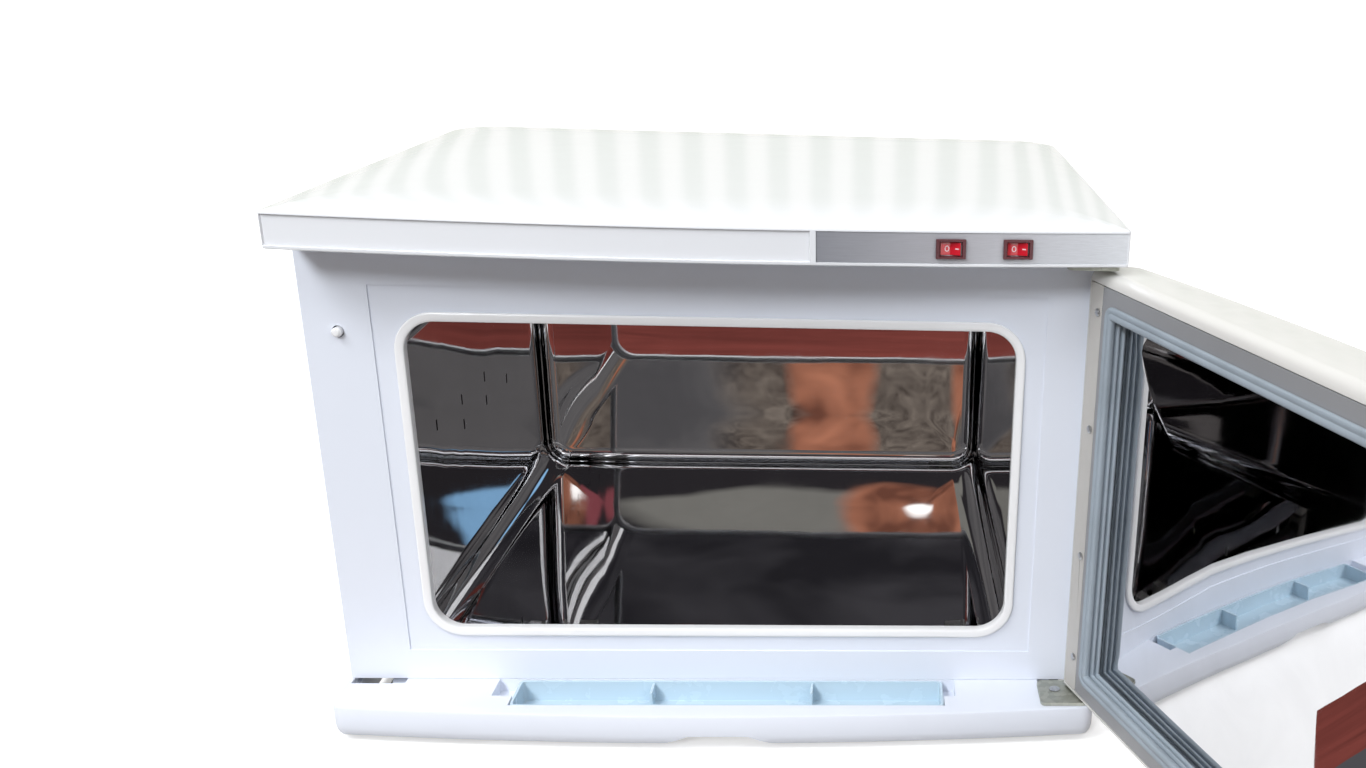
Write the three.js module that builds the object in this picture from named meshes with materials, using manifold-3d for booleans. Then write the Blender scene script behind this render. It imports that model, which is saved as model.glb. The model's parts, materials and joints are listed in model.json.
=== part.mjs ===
// Hot towel cabinet: a bench-top warmer with a mirror-polished tank, an ultraviolet lamp
// and a right-hung door, built as separate pieces the way it comes apart on a bench.
// Millimetres. While it is built, X runs to the cabinet's right from its middle, Y runs
// back from the body's front face, and Z runs up from the table. The door stands open.

import * as THREE from 'three';
import { mergeVertices } from 'three/addons/utils/BufferGeometryUtils.js';
import Module from 'manifold-3d';

const wasm = await Module();
wasm.setup();

// ---------------------------------------------------------------- driving dimensions

const GAP = 0.3; // clearance between neighbouring pieces
const STEEL = 0.8; // sheet steel
const PLASTIC = 3; // wall of the large mouldings

const BODY_HALF_WIDTH = 223.5;
const BODY_REAR = 320;
const BODY_BOTTOM = 24.4;
const BODY_TOP = 293.4;

const BASE_HALF_WIDTH = 225;
const BASE_BOTTOM = 4;
const BASE_FRONT_END = -33;
const BASE_FRONT_MIDDLE = -44;
const FOOT_RADIUS = 11;
const FOOT_X = 188;
const FOOT_FRONT_Y = 8;
const FOOT_REAR_Y = 294;
const FINGER_NOTCH = { halfWidth: 36, height: 6.6 };

const WELL = { left: -123.5, right: 134.5, front: -31, floor: 9 };
const WELL_STEP = { left: -135.5, right: 141.5, front: -20, floor: 16 };
const TRAY = { wall: 1.4, clearance: 0.6, ribSpread: 48.2, ribFront: -14.6, ribHalf: 0.7 };
const DECK_SLOTS = { left: [-222, -190.5], right: [193.5, 213], front: -5.8, rear: 12 };
const BOTTOM_PLATE = { halfWidth: 212, front: -26, rear: 309, bottom: 4.8 };

const COVER_HALF_WIDTH = 225;
const COVER_REAR = 327;
const COVER_FRONT_END = -33;
const COVER_FRONT_MIDDLE = -46;
const COVER_CREASE = 313.1;
const FIELD = { bottom: 295.2, top: 311.6, depth: 1.2 };
const LEFT_FIELD = [-224, 55.8];
const RIGHT_FIELD = [58.9, 224];

const OPENING = { halfWidth: 173, bottom: 56.9, top: 250.5, radius: 20 };
const TRIM_WALL = 2;
const TRIM_LIP = 0.8;
const TRIM_OVERHANG = 2.5; // how far the trim reaches in over the tank's mouth
const TRIM_PROUD = 1.3; // how far the trim's lip stands out of the front
const TRIM_DEPTH = 5;
const PANEL_RECESS = { halfWidth: 187, bottom: 44, top: 268, depth: 0.9 };

const TANK_DEPTH = 292;
const TANK_REAR_HALF_WIDTH = 170;
const TANK_REAR_RADIUS = 10;
const TANK_SHEET = 0.6;
const TANK_FLANGE = 12; // how far the tank's front flange stands out round the opening
const RACK_SLOTS = { pitch: 50, rows: [{ y: 46, z: 171.5 }, { y: 96, z: 155 }] };

const HINGE_X = 217;
const HINGE_Y = -11;
const HINGE_PIN = { radius: 2, length: 11 };
const HINGE_PLATE = { outline: [192.5, 220.5, -32, -4.6], thickness: 2, tab: [195, 211], tabDepth: 5 };
const HINGE_SCREW = { x: 202.5, y: -15.5 };
const LOWER_PLATE_Z = BODY_BOTTOM + GAP;
const UPPER_PLATE_Z = BODY_TOP - GAP;
const BUSH = { inner: HINGE_PIN.radius + GAP, outer: 3.5, length: 12 };
const DOOR_OPEN_ANGLE = THREE.MathUtils.degToRad(110);

const DOOR = { halfWidth: 222, back: -3.2, bottom: 27.5, top: 288.5, wall: 2.5, roof: 6.9 };
const DOOR_FRONT_END = -33;
const DOOR_FRONT_MIDDLE = -45;
const DOOR_FRAME = { halfWidth: 219, bottom: 30.6, top: 281.1, thickness: 2.6 };
const HINGE_STRIP_LEFT = 206;
const GASKET = { halfWidth: 195.3, bottom: 44.8, top: 268.2, lip: 4.2 };
const MIRROR_DEPTH = 9.6;
const STRIP_SCREW_X = 209.6;
const STRIP_SCREW_Z = [265.6, 197.6, 118.9, 52.2];
const GRIP = { depth: 9, wall: 2.5, bottom: 118, top: 198 };

const SWITCH = { x: [128.8, 164.2], width: 15.7, height: 10.4, z: 303.2 };
const ROCKER_TILT = THREE.MathUtils.degToRad(7);
const ROCKER_PIVOT_DEPTH = 1.2;
const SWITCH_ROOM = [6.9, 4.6]; // half width and half height of the hole that a switch snaps into

const DOOR_SWITCH = { x: -205, z: 241.4, radius: 2.8, reach: 4 };
const LAMP = { y: 262, z: 236, length: 288.3, radius: 8 };
const LAMP_CAP = { length: 9, radius: 8.3 };
const HEATED_FLOOR = { cordBottom: 51.2, cordTop: 53.8, padBottom: 54.2, padTop: 55.6 };
const INLET = { x: -150, z: 40 };
const INLET_PINS = [
  { name: 'inlet_pin_live', dx: -7, dz: -1.5 },
  { name: 'inlet_pin_neutral', dx: 7, dz: -1.5 },
  { name: 'inlet_pin_earth', dx: 0, dz: 2.4 },
];

// ---------------------------------------------------------------- looks

const LOOKS = {
  white: { color: 0xeff0f6, roughness: 0.35, metalness: 0 },
  glossWhite: { color: 0xf8f8f6, roughness: 0.12, metalness: 0 },
  cream: { color: 0xf1ead8, roughness: 0.3, metalness: 0 },
  strip: { color: 0xe2d9cd, roughness: 0.5, metalness: 0 },
  frameGrey: { color: 0xbcbcc4, roughness: 0.45, metalness: 0 },
  paleBlue: { color: 0xaed8f2, roughness: 0.3, metalness: 0 },
  mirror: { color: 0xd7d7da, roughness: 0.05, metalness: 1 },
  steel: { color: 0xb9bbbd, roughness: 0.35, metalness: 1 },
  galvanised: { color: 0x9a9c8e, roughness: 0.5, metalness: 0.9 },
  silver: { color: 0xb4b6bc, roughness: 0.4, metalness: 0.8 },
  brass: { color: 0xc9a75a, roughness: 0.35, metalness: 1 },
  rubberBlack: { color: 0x1d1d1f, roughness: 0.85, metalness: 0 },
  gasket: { color: 0x8e9dab, roughness: 0.6, metalness: 0 },
  foam: { color: 0xf2f1ea, roughness: 0.95, metalness: 0 },
  foil: { color: 0xc9cacc, roughness: 0.3, metalness: 1 },
  siliconeRed: { color: 0xa1342b, roughness: 0.6, metalness: 0 },
  rockerRed: { color: 0xc8102e, roughness: 0.15, metalness: 0 },
  bezelRed: { color: 0x5a0c18, roughness: 0.3, metalness: 0 },
  black: { color: 0x222326, roughness: 0.5, metalness: 0 },
  ceramic: { color: 0xece7da, roughness: 0.6, metalness: 0 },
  glass: { color: 0xdfe6f5, roughness: 0.05, metalness: 0 },
};

function piece(name, geometry, look) {
  const mesh = new THREE.Mesh(geometry, new THREE.MeshStandardMaterial(LOOKS[look]));
  mesh.name = name;
  return mesh;
}

// ---------------------------------------------------------------- solids

function toSolid(geometry) {
  const bare = geometry.clone();
  bare.deleteAttribute('normal');
  bare.deleteAttribute('uv');
  const welded = mergeVertices(bare, 1e-4);
  const mesh = new wasm.Mesh({
    numProp: 3,
    vertProperties: new Float32Array(welded.attributes.position.array),
    triVerts: new Uint32Array(welded.index.array),
  });
  return new wasm.Manifold(mesh);
}

function toGeometry(solid) {
  const { vertProperties, triVerts } = solid.getMesh();
  const geometry = new THREE.BufferGeometry();
  geometry.setAttribute('position', new THREE.BufferAttribute(vertProperties, 3));
  geometry.setIndex(new THREE.BufferAttribute(triVerts, 1));
  return geometry;
}

const join = (first, ...others) => others.reduce((sum, next) => sum.add(next), first);
const cut = (first, ...others) => others.reduce((rest, next) => rest.subtract(next), first);

// A box between two corners.
function box(x0, x1, y0, y1, z0, z1) {
  const geometry = new THREE.BoxGeometry(x1 - x0, y1 - y0, z1 - z0);
  geometry.translate((x0 + x1) / 2, (y0 + y1) / 2, (z0 + z1) / 2);
  return toSolid(geometry);
}

const X_AXIS = new THREE.Vector3(1, 0, 0);
const Y_AXIS = new THREE.Vector3(0, 1, 0);
const Z_AXIS = new THREE.Vector3(0, 0, 1);

function extrude(shape, length, curveSegments = 5) {
  return new THREE.ExtrudeGeometry(shape, { depth: length, bevelEnabled: false, curveSegments });
}

// A shape drawn in X and Y, standing between two heights.
function standing(shape, z0, z1, curveSegments) {
  return toSolid(extrude(shape, z1 - z0, curveSegments).translate(0, 0, z0));
}

// A shape drawn in X and Z, running back between two depths.
function facing(shape, y0, y1, curveSegments) {
  const turn = new THREE.Matrix4().makeBasis(X_AXIS, Z_AXIS, Y_AXIS.clone().negate());
  return toSolid(extrude(shape, y1 - y0, curveSegments).applyMatrix4(turn).translate(0, y1, 0));
}

// A turned profile of [radius, height] points; it starts and ends on its axis, or closes.
function turned(profile, segments = 20) {
  const points = profile.map(([radius, height]) => new THREE.Vector2(radius, height));
  return new THREE.LatheGeometry(points, segments).rotateX(Math.PI / 2);
}

// A turned solid moved to a place, its own height running along the given axis.
function turnedAlong(axis, place, profile, segments) {
  const turn = new THREE.Quaternion().setFromUnitVectors(Z_AXIS, axis);
  const geometry = turned(profile, segments).applyQuaternion(turn);
  return toSolid(geometry.translate(...place));
}

function rod(axis, place, radius, from, to, segments = 16) {
  return turnedAlong(axis, place, [[0, from], [radius, from], [radius, to], [0, to]], segments);
}

function roundedRectangle(left, right, bottom, top, radius, Kind = THREE.Shape) {
  const shape = new Kind();
  shape.absarc(right - radius, bottom + radius, radius, -Math.PI / 2, 0);
  shape.absarc(right - radius, top - radius, radius, 0, Math.PI / 2);
  shape.absarc(left + radius, top - radius, radius, Math.PI / 2, Math.PI);
  shape.absarc(left + radius, bottom + radius, radius, Math.PI, Math.PI * 1.5);
  shape.closePath();
  return shape;
}

// A flat frame: a rounded rectangle with a rounded hole. Each is [left, right, bottom, top, radius].
function frameShape(outer, hole) {
  const shape = roundedRectangle(...outer);
  shape.holes.push(roundedRectangle(...hole, THREE.Path));
  return shape;
}

// Rings of points with equal counts, skinned into one closed body with flat ends.
function skin(rings, flatten) {
  const count = rings[0].length;
  const positions = rings.flat().flatMap((point) => point.toArray());
  const index = [];
  for (let r = 0; r + 1 < rings.length; r += 1) {
    for (let i = 0; i < count; i += 1) {
      const next = (i + 1) % count;
      const [a, b] = [r * count + i, r * count + next];
      index.push(a, b, b + count, a, b + count, a + count);
    }
  }
  const last = (rings.length - 1) * count;
  for (const [a, b, c] of THREE.ShapeUtils.triangulateShape(rings[0].map(flatten), [])) {
    index.push(c, b, a);
  }
  for (const [a, b, c] of THREE.ShapeUtils.triangulateShape(rings.at(-1).map(flatten), [])) {
    index.push(last + a, last + b, last + c);
  }
  const geometry = new THREE.BufferGeometry();
  geometry.setAttribute('position', new THREE.Float32BufferAttribute(positions, 3));
  geometry.setIndex(index);
  return toSolid(geometry);
}

// ---------------------------------------------------------------- bowed mouldings

// The plan outline shared by the base, the door and the cover: a rectangle whose front
// edge bows forward in the middle. The inset draws the same outline smaller.
function bowedOutline(plan, inset = 0) {
  const halfWidth = plan.halfWidth - inset;
  const rear = plan.rear - inset;
  const frontAt = (x) => {
    const across = (x / plan.halfWidth) ** 2;
    return plan.frontMiddle + inset + (plan.frontEnd - plan.frontMiddle) * across;
  };
  const frontRadius = Math.max(plan.frontRadius - inset, 1);
  const rearRadius = Math.max(plan.rearRadius - inset, 1);
  const points = [];
  const corner = (x, y, radius, start) => {
    for (let step = 0; step <= plan.cornerSteps; step += 1) {
      const angle = start + (Math.PI / 2) * (step / plan.cornerSteps);
      points.push(new THREE.Vector2(x + radius * Math.cos(angle), y + radius * Math.sin(angle)));
    }
  };
  const cornerX = halfWidth - frontRadius;
  corner(-cornerX, frontAt(cornerX) + frontRadius, frontRadius, Math.PI);
  for (let step = 1; step < plan.bowSteps; step += 1) {
    const x = THREE.MathUtils.lerp(-cornerX, cornerX, step / plan.bowSteps);
    points.push(new THREE.Vector2(x, frontAt(x)));
  }
  corner(cornerX, frontAt(cornerX) + frontRadius, frontRadius, -Math.PI / 2);
  corner(halfWidth - rearRadius, rear - rearRadius, rearRadius, 0);
  corner(rearRadius - halfWidth, rear - rearRadius, rearRadius, Math.PI / 2);
  return points;
}

// A moulding drawn as plan outlines, each a [height, inset] pair, stacked upward.
function stacked(plan, levels) {
  const rings = levels.map(([height, inset]) => (
    bowedOutline(plan, inset).map((point) => new THREE.Vector3(point.x, point.y, height))
  ));
  return skin(rings, (point) => new THREE.Vector2(point.x, point.y));
}

const BASE_PLAN = {
  halfWidth: BASE_HALF_WIDTH,
  rear: 318,
  frontEnd: BASE_FRONT_END,
  frontMiddle: BASE_FRONT_MIDDLE,
  frontRadius: 8,
  rearRadius: 8,
  cornerSteps: 4,
  bowSteps: 14,
};

const COVER_PLAN = {
  halfWidth: COVER_HALF_WIDTH,
  rear: COVER_REAR,
  frontEnd: COVER_FRONT_END,
  frontMiddle: COVER_FRONT_MIDDLE,
  frontRadius: 2.5,
  rearRadius: 26,
  cornerSteps: 5,
  bowSteps: 16,
};

const DOOR_PLAN = {
  halfWidth: DOOR.halfWidth,
  rear: DOOR.back,
  frontEnd: DOOR_FRONT_END,
  frontMiddle: DOOR_FRONT_MIDDLE,
  frontRadius: 14,
  rearRadius: 2.5,
  cornerSteps: 5,
  bowSteps: 14,
};

// ---------------------------------------------------------------- base

function fingerNotch() {
  const { halfWidth, height } = FINGER_NOTCH;
  const steps = 12;
  const shape = new THREE.Shape();
  shape.moveTo(-halfWidth, BASE_BOTTOM - 1);
  for (let step = 0; step <= steps; step += 1) {
    const across = step / steps;
    const rise = Math.min(1, 1.6 * Math.sin(Math.PI * across) ** 1.5);
    const x = THREE.MathUtils.lerp(-halfWidth, halfWidth, across);
    shape.lineTo(x, BASE_BOTTOM + height * rise - 0.01);
  }
  shape.lineTo(halfWidth, BASE_BOTTOM - 1);
  return facing(shape, BASE_FRONT_MIDDLE - 2, BASE_FRONT_MIDDLE + 8);
}

function baseMoulding() {
  const edge = [[BASE_BOTTOM, 4], [5, 2], [7.5, 0.6], [11, 0], [22.8, 0], [24, 0.5], [BODY_BOTTOM, 1.3]];
  const deckUnderside = BODY_BOTTOM - PLASTIC;
  const wellWall = box(
    WELL_STEP.left - PLASTIC, WELL_STEP.right + PLASTIC,
    WELL.front - PLASTIC, PLASTIC, WELL.floor - 2, BODY_BOTTOM,
  );
  const bosses = footPlaces().map(([x, y]) => rod(Z_AXIS, [x, y, 0], 14, 7, BODY_BOTTOM));
  const hollow = cut(stacked(BASE_PLAN, [[BASE_BOTTOM - 1, 5], [deckUnderside, 5]]), wellWall, ...bosses);
  const well = box(WELL.left, WELL.right, WELL.front, -GAP, WELL.floor, BODY_BOTTOM + 1);
  const step = box(
    WELL_STEP.left, WELL_STEP.right, WELL_STEP.front, -GAP, WELL_STEP.floor, BODY_BOTTOM + 1,
  );
  const slots = [DECK_SLOTS.left, DECK_SLOTS.right].map(([left, right]) => (
    box(left, right, DECK_SLOTS.front, DECK_SLOTS.rear, deckUnderside - 1, BODY_BOTTOM + 1)
  ));
  const screwHole = rod(Z_AXIS, [HINGE_SCREW.x, HINGE_SCREW.y, 0], 1.8, 10, 30, 10);
  return cut(stacked(BASE_PLAN, edge), hollow, well, step, ...slots, fingerNotch(), screwHole);
}

function footPlaces() {
  return [[-FOOT_X, FOOT_FRONT_Y], [FOOT_X, FOOT_FRONT_Y], [-FOOT_X, FOOT_REAR_Y], [FOOT_X, FOOT_REAR_Y]];
}

function baseGroup() {
  const { halfWidth, front, rear, bottom } = BOTTOM_PLATE;
  const plate = standing(roundedRectangle(-halfWidth, halfWidth, front, rear, 6), bottom, bottom + STEEL);
  const group = new THREE.Group();
  group.add(piece('base_moulding', toGeometry(baseMoulding()), 'white'));
  group.add(piece('bottom_plate', toGeometry(plate), 'galvanised'));
  const names = ['foot_front_left', 'foot_front_right', 'foot_rear_left', 'foot_rear_right'];
  const profile = [[0, 0], [FOOT_RADIUS - 1.5, 0], [FOOT_RADIUS - 0.5, 1]];
  profile.push([FOOT_RADIUS, bottom - GAP], [0, bottom - GAP]);
  footPlaces().forEach(([x, y], i) => {
    const foot = piece(names[i], turned(profile), 'rubberBlack');
    foot.position.set(x, y, 0);
    group.add(foot);
  });
  return group;
}

function dripTray() {
  const { wall, clearance, ribSpread, ribFront, ribHalf } = TRAY;
  const [bottom, top] = [WELL.floor + GAP, BODY_BOTTOM - clearance];
  const [left, right] = [WELL.left + clearance, WELL.right - clearance];
  const [front, rear] = [WELL.front + 0.5, -GAP - clearance];
  const outer = standing(roundedRectangle(left, right, front, rear, 3), bottom, top, 3);
  const inner = roundedRectangle(left + wall, right - wall, front + wall, rear - wall, 2);
  const centre = (left + right) / 2;
  const ribs = [centre - ribSpread, centre + ribSpread].map((x) => (
    box(x - ribHalf, x + ribHalf, ribFront, rear, bottom, top - 1)
  ));
  return join(cut(outer, standing(inner, bottom + wall, top + 1, 3)), ...ribs);
}

// ---------------------------------------------------------------- casing

// A side panel's plan: a flat wall with a return flange behind the rear panel's edge.
function sidePanel(side) {
  const outer = BODY_HALF_WIDTH;
  const [front, rear] = [PLASTIC + GAP, BODY_REAR - STEEL - GAP];
  const wall = [[outer, front], [outer, rear], [outer - 16, rear], [outer - 16, rear - STEEL]];
  wall.push([outer - STEEL, rear - STEEL], [outer - STEEL, front]);
  const shape = new THREE.Shape(wall.map(([x, y]) => new THREE.Vector2(x * side, y)));
  return standing(shape, BODY_BOTTOM + GAP, BODY_TOP - GAP);
}

// A grid of slots through the rear panel.
function slots(place, columns, rows, length, height, pitchX, pitchZ) {
  const cuts = [];
  for (let column = 0; column < columns; column += 1) {
    for (let row = 0; row < rows; row += 1) {
      const x = place.x + (column - (columns - 1) / 2) * pitchX;
      const z = place.z + (row - (rows - 1) / 2) * pitchZ;
      const slot = [x - length / 2, x + length / 2, z - height / 2, z + height / 2, height * 0.49];
      cuts.push(facing(roundedRectangle(...slot), BODY_REAR - 5, BODY_REAR + 5, 1));
    }
  }
  return cuts;
}

function rearPanel() {
  const half = BODY_HALF_WIDTH - 1;
  const plate = roundedRectangle(-half, half, BODY_BOTTOM + GAP, BODY_TOP - GAP, 3);
  const sheet = facing(plate, BODY_REAR - STEEL, BODY_REAR, 3);
  const inletHole = facing(
    roundedRectangle(INLET.x - 14.5, INLET.x + 14.5, INLET.z - 10.8, INLET.z + 10.8, 2),
    BODY_REAR - 5, BODY_REAR + 5, 2,
  );
  const vents = slots({ x: 0, z: 272 }, 4, 3, 60, 3.4, 84, 9);
  return cut(sheet, inletHole, ...vents);
}

function frontFrame() {
  const [bottom, top] = [BODY_BOTTOM + GAP, BODY_TOP - GAP];
  const half = BODY_HALF_WIDTH;
  const hole = OPENING.halfWidth + TRIM_WALL + GAP;
  const holeShape = [-hole, hole, OPENING.bottom - TRIM_WALL - GAP, OPENING.top + TRIM_WALL + GAP];
  const holeRadius = OPENING.radius + TRIM_WALL + GAP;
  const plate = facing(frameShape([-half, half, bottom, top, 1.5], [...holeShape, holeRadius]), 0, PLASTIC);
  const rim = frameShape(
    [-half + STEEL + 1, half - STEEL - 1, bottom + 1, top - 1, 2],
    [-half + STEEL + 3.4, half - STEEL - 3.4, bottom + 3.4, top - 3.4, 1],
  );
  const recess = box(
    -PANEL_RECESS.halfWidth, PANEL_RECESS.halfWidth, -1, PANEL_RECESS.depth,
    PANEL_RECESS.bottom, PANEL_RECESS.top,
  );
  const plungerHole = rod(Y_AXIS, [DOOR_SWITCH.x, 0, DOOR_SWITCH.z], DOOR_SWITCH.radius + 0.6, -2, 8);
  return cut(join(plate, facing(rim, PLASTIC - 0.5, 15)), recess, plungerHole);
}

// The opening's outline grown by a margin, for the trim, the tank and their flanges.
function openingOutline(margin) {
  const { halfWidth, bottom, top, radius } = OPENING;
  const half = halfWidth + margin;
  return [-half, half, bottom - margin, top + margin, radius + margin];
}

function openingTrim() {
  const mouth = openingOutline(-TRIM_OVERHANG);
  const lip = frameShape(openingOutline(TRIM_WALL + TRIM_LIP), mouth);
  const sleeve = frameShape(openingOutline(TRIM_WALL), mouth);
  const lipBack = PANEL_RECESS.depth - GAP;
  return join(facing(lip, -TRIM_PROUD, lipBack, 7), facing(sleeve, lipBack - 0.5, TRIM_DEPTH, 7));
}

// ---------------------------------------------------------------- tank and its heating

// One ring of the tank: it narrows a little towards the rear and rounds into its back.
function tankRing(y, inset) {
  const along = (y - TRIM_DEPTH) / TANK_DEPTH;
  const half = THREE.MathUtils.lerp(OPENING.halfWidth, TANK_REAR_HALF_WIDTH, along) - inset;
  const radius = Math.max(OPENING.radius - 2 - inset, 4);
  const outline = roundedRectangle(-half, half, OPENING.bottom + inset, OPENING.top - inset, radius);
  return outline.getPoints(4).map((point) => new THREE.Vector3(point.x, y, point.y));
}

function tankVolume(front, grow) {
  const rings = [tankRing(front, -grow)];
  const steps = 4;
  const rear = TRIM_DEPTH + TANK_DEPTH + grow;
  const radius = TANK_REAR_RADIUS + grow;
  for (let step = 0; step <= steps; step += 1) {
    const angle = (Math.PI / 2) * (step / steps);
    const y = rear - radius + radius * Math.sin(angle);
    rings.push(tankRing(y, radius * (1 - Math.cos(angle)) - grow));
  }
  for (const ring of rings) {
    if (ring[0].distanceTo(ring.at(-1)) < 0.01) ring.pop();
  }
  return skin(rings.reverse(), (point) => new THREE.Vector2(point.x, point.z));
}

function rackSlots() {
  const cuts = [];
  for (const row of RACK_SLOTS.rows) {
    for (let i = 0; i < 3; i += 1) {
      const y = row.y + i * RACK_SLOTS.pitch;
      cuts.push(box(-180, -165, y - 1.1, y + 1.1, row.z - 3.4, row.z + 3.4));
    }
  }
  return cuts;
}

function innerTank() {
  const front = TRIM_DEPTH + GAP;
  const flangeShape = frameShape(openingOutline(TANK_FLANGE), openingOutline(-3));
  const flange = facing(flangeShape, front, front + STEEL, 4);
  const shell = join(tankVolume(front, TANK_SHEET), flange);
  const wires = [-1, 1].map((side) => (
    box(side * 158 - 4, side * 158 + 4, LAMP.y - 3, LAMP.y + 3, OPENING.top - 5, OPENING.top + 5)
  ));
  return cut(shell, tankVolume(front - 1, 0), ...rackSlots(), ...wires);
}

// A heating cord laid in straight runs under the tank, joined end to end by short links.
function heatingCord() {
  const [left, right, front, pitch, runs, width] = [-150, 150, 50, 26, 9, 4];
  const { cordBottom, cordTop } = HEATED_FLOOR;
  const parts = [];
  for (let run = 0; run < runs; run += 1) {
    const y = front + run * pitch;
    parts.push(box(left, right, y, y + width, cordBottom, cordTop));
    const end = run % 2 === 0 ? right - width : left;
    if (run + 1 < runs) parts.push(box(end, end + width, y, y + pitch + width, cordBottom, cordTop));
  }
  return join(...parts);
}

function thermostat() {
  const place = [60, 150, 0];
  const z = OPENING.top + TANK_SHEET + 0.4;
  const profile = [[0, z], [9, z], [9, z + 3], [8, z + 3.5], [8, z + 9], [0, z + 9]];
  const ear = box(42, 78, 145, 155, z, z + 1);
  const tabs = [-4, 4].map((offset) => box(60 + offset - 0.5, 60 + offset + 0.5, 147, 153, z + 8, z + 16));
  return join(turnedAlong(Z_AXIS, place, profile, 16), ear, ...tabs);
}

function thermalFuse() {
  const z = OPENING.top + TANK_SHEET + 3;
  const body = rod(X_AXIS, [0, 150, z], 2.2, 0, 12, 10);
  const leads = rod(X_AXIS, [0, 150, z], 0.7, -8, 20, 6);
  return join(body, leads);
}

function insulationTop() {
  const sheet = roundedRectangle(-170, 170, 30, 292, 3);
  sheet.holes.push(roundedRectangle(-12, 84, 138, 162, 3, THREE.Path));
  return standing(sheet, 253.6, 270, 2);
}

function tankGroup() {
  const group = new THREE.Group();
  group.add(piece('inner_tank', toGeometry(innerTank()), 'mirror'));
  const pad = box(-160, 160, 40, 285, HEATED_FLOOR.padBottom, HEATED_FLOOR.padTop);
  group.add(piece('heater_pad', toGeometry(pad), 'foil'));
  group.add(piece('heating_cord', toGeometry(heatingCord()), 'siliconeRed'));
  group.add(piece('thermostat', toGeometry(thermostat()), 'black'));
  group.add(piece('thermal_fuse', toGeometry(thermalFuse()), 'steel'));
  group.add(piece('insulation_top', toGeometry(insulationTop()), 'foam'));
  group.add(piece('insulation_bottom', toGeometry(box(-170, 170, 30, 290, 27, 49.6)), 'foam'));
  group.add(piece('insulation_left', toGeometry(box(-203, -177, 30, 296, 60, 248)), 'foam'));
  group.add(piece('insulation_right', toGeometry(box(177, 203, 30, 296, 60, 248)), 'foam'));
  group.add(piece('insulation_rear', toGeometry(box(-168, 168, 300, 314, 60, 248)), 'foam'));
  return group;
}

// ---------------------------------------------------------------- ultraviolet lamp

function lampCap(side) {
  const end = LAMP.length / 2;
  const profile = [[0, end - LAMP_CAP.length + 1], [LAMP.radius - 2.4, end - LAMP_CAP.length + 1]];
  profile.push([LAMP.radius - 2.4, end - LAMP_CAP.length], [LAMP_CAP.radius, end - LAMP_CAP.length]);
  profile.push([LAMP_CAP.radius, end], [0, end]);
  const axis = X_AXIS.clone().multiplyScalar(side);
  const cap = turnedAlong(axis, [0, 0, 0], profile, 16);
  const pins = [-2.5, 2.5].map((z) => rod(axis, [0, 0, z], 1.1, end - 1, end + 7, 8));
  return join(cap, ...pins);
}

function lampTube() {
  const end = LAMP.length / 2 - LAMP_CAP.length - GAP;
  return rod(X_AXIS, [0, 0, 0], LAMP.radius, -end, end, 20);
}

function lampholder(side) {
  const [near, far] = [LAMP.length / 2 + 0.5, LAMP.length / 2 + 13];
  const [x0, x1] = side > 0 ? [near, far] : [-far, -near];
  const block = box(x0, x1, LAMP.y - 8.5, LAMP.y + 8.5, LAMP.z - 9, OPENING.top - 1.4);
  const axis = X_AXIS.clone().multiplyScalar(side);
  const socket = rod(axis, [0, LAMP.y, LAMP.z], 4.4, near - 1, near + 8, 16);
  const [s0, s1] = side > 0 ? [near - 1, near + 8] : [-near - 8, -near + 1];
  const slot = box(s0, s1, LAMP.y - 1.6, LAMP.y + 1.6, LAMP.z - 10, LAMP.z);
  return cut(block, socket, slot);
}

function lampGroup() {
  const group = new THREE.Group();
  const lamp = new THREE.Group();
  lamp.position.set(0, LAMP.y, LAMP.z);
  lamp.add(piece('uv_lamp_tube', toGeometry(lampTube()), 'glass'));
  lamp.add(piece('uv_lamp_cap_left', toGeometry(lampCap(-1)), 'steel'));
  lamp.add(piece('uv_lamp_cap_right', toGeometry(lampCap(1)), 'steel'));
  group.add(lamp);
  group.add(piece('lampholder_left', toGeometry(lampholder(-1)), 'ceramic'));
  group.add(piece('lampholder_right', toGeometry(lampholder(1)), 'ceramic'));
  return group;
}

// ---------------------------------------------------------------- wiring compartment

function ballast() {
  const core = box(-120, -30, 60, 98, 272, 300);
  const foot = box(-135, -15, 64, 94, 270.4, 272.5);
  const holes = [-129, -21].map((x) => rod(Z_AXIS, [x, 79, 0], 2.2, 265, 280, 10));
  return cut(join(core, foot), ...holes);
}

function starterHolder() {
  const outer = rod(X_AXIS, [30, 79, 285], 13, 0, 14, 18);
  const base = box(30, 44, 68, 90, 270.6, 280);
  const bore = rod(X_AXIS, [30, 79, 285], 11, 4, 16, 18);
  return cut(join(outer, base), bore);
}

function terminalBlock() {
  const body = box(-130, -72, 200, 216, 270.6, 282);
  const wells = [0, 1, 2, 3, 4].map((i) => rod(Z_AXIS, [-121 + i * 10.2, 208, 0], 2.4, 277, 284, 10));
  return cut(body, ...wells);
}

function powerInlet() {
  const [x, z] = [INLET.x, INLET.z];
  const outline = (half, rise, radius) => roundedRectangle(x - half, x + half, z - rise, z + rise, radius);
  const body = facing(outline(14, 10.3, 1.5), BODY_REAR - 22, BODY_REAR + GAP, 2);
  const bezel = facing(outline(16, 12.2, 2.5), BODY_REAR + GAP, BODY_REAR + 3, 3);
  const socket = facing(outline(12.2, 8.4, 3), BODY_REAR - 14, BODY_REAR + 6, 3);
  const pinHoles = INLET_PINS.map(({ dx, dz }) => (
    box(x + dx - 1.4, x + dx + 1.4, BODY_REAR - 30, BODY_REAR, z + dz - 2.4, z + dz + 2.4)
  ));
  return cut(join(body, bezel), socket, ...pinHoles);
}

function inletPin({ dx, dz }) {
  const [x, z] = [INLET.x + dx, INLET.z + dz];
  return box(x - 1, x + 1, BODY_REAR - 28, BODY_REAR - 1, z - 2, z + 2);
}

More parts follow.
